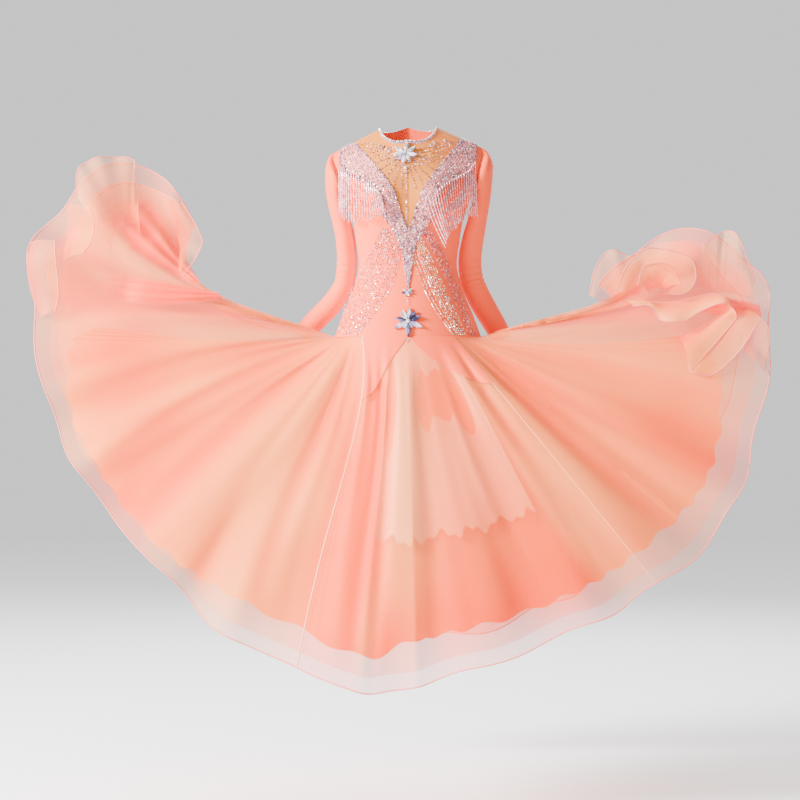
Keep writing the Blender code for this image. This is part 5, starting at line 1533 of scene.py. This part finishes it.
front_edge = neckline_edge(True)
chain = [tube(front_edge + np.array([0, -0.0016, drop]), 0.0011) for drop in (-0.0012, -0.0058)]
dress(tubes_object("neck_chain", chain), CUT_DARK, "stones")
upper_row = front_edge + np.array([0, -0.0022, -0.001])
lower_row = front_edge + np.array([0, -0.0026, -0.0056])
back_row = neckline_edge(False) + np.array([0, 0.0018, -0.001])
LARGE_STONE = (0.0080, 0.0034, 0.0028)
SMALL_STONE = (0.0066, 0.0030, 0.0024)
baguettes("neck_baguettes_front", upper_row, *LARGE_STONE, CUT_SILVER, "neck_trim_front")
baguettes("neck_baguettes_low", lower_row, *SMALL_STONE, CUT_LILAC)
baguettes("neck_baguettes_back", back_row, *LARGE_STONE, CUT_SILVER, "neck_trim_back")
front_length = float(np.linalg.norm(np.diff(front_edge, axis=0), axis=1).sum())
print("neckline length:", round(front_length, 3), "m at the front")


# %% [markdown]
# ## Fringe
#
# Strands of small beads hang from the band's outer edge. Beads could be single balls, but some
# eight hundred of them would be heavy. A strand is one tube whose radius swells at each bead:
# r * (0.5 + 0.5 * |sin|). The strands near the waist swing outwards.


# %% Bead fringe
Strand = namedtuple("Strand", "top_x top_z end_x end_z")
FRINGE = {
    "left": [Strand(-0.164, -0.036, -0.163, -0.166), Strand(-0.150, -0.056, -0.150, -0.178),
             Strand(-0.126, -0.072, -0.124, -0.184), Strand(-0.100, -0.084, -0.096, -0.182),
             Strand(-0.080, -0.098, -0.070, -0.172), Strand(-0.062, -0.126, -0.052, -0.172)],
    "right": [Strand(0.160, -0.036, 0.164, -0.166), Strand(0.142, -0.060, 0.146, -0.172),
              Strand(0.118, -0.076, 0.126, -0.184), Strand(0.094, -0.090, 0.110, -0.200),
              Strand(0.070, -0.112, 0.096, -0.220), Strand(0.046, -0.146, 0.088, -0.246)],
}
STRANDS = 22


def fringe_tubes(table):
    """Beaded tubes from the tops to the ends of the strands, a little away from the body."""
    keys = np.linspace(0, 1, len(table))
    spots = smooth(keys, [list(s) for s in table], np.linspace(0, 1, STRANDS))
    rings = []
    for top_x, top_z, end_x, end_z in spots:
        end_z = end_z + rng.uniform(-0.006, 0.006)
        share = np.linspace(0, 1, 40)
        x = top_x + (end_x - top_x) * share**1.3
        z = top_z + (end_z - top_z) * share
        body_y = on_front(np.clip(x, -0.168, 0.168), z, 0)[0][:, 1]
        y = np.minimum.accumulate(body_y) - 0.0050 - 0.003 * share
        path = np.stack([x, y, z], axis=-1)
        radius = 0.0019 * (0.5 + 0.5 * np.abs(np.sin(share * math.pi * 19)))
        rings.append(tube(path, radius, 5))
    return rings


for word, table in FRINGE.items():
    piece = tubes_object("bead_fringe_" + word, fringe_tubes(table))
    dress(piece, BEADS, "beads", "fringe_" + word)
    print("strands on the", word + ":", STRANDS)


# %% [markdown]
# ## Floor, light and camera
#
# The dress stands in a pale studio: a wide floor below it, a white sky and three square lights. A
# large light is soft, as through a window. The key light comes from the left and models the
# folds, the fill is weak, and the one behind makes the sheer cloth glow. The camera looks level
# from five metres, far enough that near folds do not look much larger than far ones.


# %% Studio
FLOOR_Z, FLOOR_HALF = -1.56, 9.0
FLOOR_CORNERS = [(-1, -1), (1, -1), (1, 1), (-1, 1)]
corners = np.array([(x * FLOOR_HALF, y * FLOOR_HALF, FLOOR_Z) for x, y in FLOOR_CORNERS])
floor = make_mesh("studio_floor", corners, np.array([[0, 1, 2, 3]]))
pale, nodes, links, shader = new_material("pale_floor")
set_sockets(shader, {"Base Color": (0.86, 0.86, 0.86, 1), "Roughness": 0.7})
floor.data.materials.append(pale)

world = bpy.data.worlds.new("studio")
bpy.context.scene.world = world
world.use_nodes = True
set_sockets(world.node_tree.nodes["Background"], {"Color": (1.0, 1.0, 1.0, 1), "Strength": 1.0})

Light = namedtuple("Light", "name place target size power")
LIGHTS = [Light("key", (-4.2, -2.1, 1.4), (0, 0, -0.5), 1.2, 1700),
          Light("fill", (3.0, -3.0, 0.4), (0, 0, -0.6), 2.6, 20),
          Light("back", (0.5, 3.2, 1.8), (0, 0, -0.4), 2.4, 260)]


def area_light(name, place, target, size, power):
    """A square soft light that faces a target."""
    light = bpy.data.lights.new(name, "AREA")
    light.size = size
    light.energy = power
    obj = bpy.data.objects.new(name, light)
    bpy.context.scene.collection.objects.link(obj)
    obj.location = place
    obj.rotation_euler = (Vector(target) - Vector(place)).to_track_quat("-Z", "Y").to_euler()


for light in LIGHTS:
    area_light(*light)
print("lights:", [light.name for light in LIGHTS])


# %% Camera
CAMERA_PLACE = (-0.019, -5.0, -0.605)
VIEW_HALF_WIDTH, VIEW_DISTANCE = 0.96, 5.0
camera_data = bpy.data.cameras.new("camera")
camera_data.sensor_width = 36
camera_data.angle = 2 * math.atan(VIEW_HALF_WIDTH / VIEW_DISTANCE)
camera = bpy.data.objects.new("camera", camera_data)
bpy.context.scene.collection.objects.link(camera)
camera.location = CAMERA_PLACE
camera.rotation_euler = (math.pi / 2, 0, 0)
bpy.context.scene.camera = camera
print("width of the view at the dress:", 2 * VIEW_HALF_WIDTH, "m")
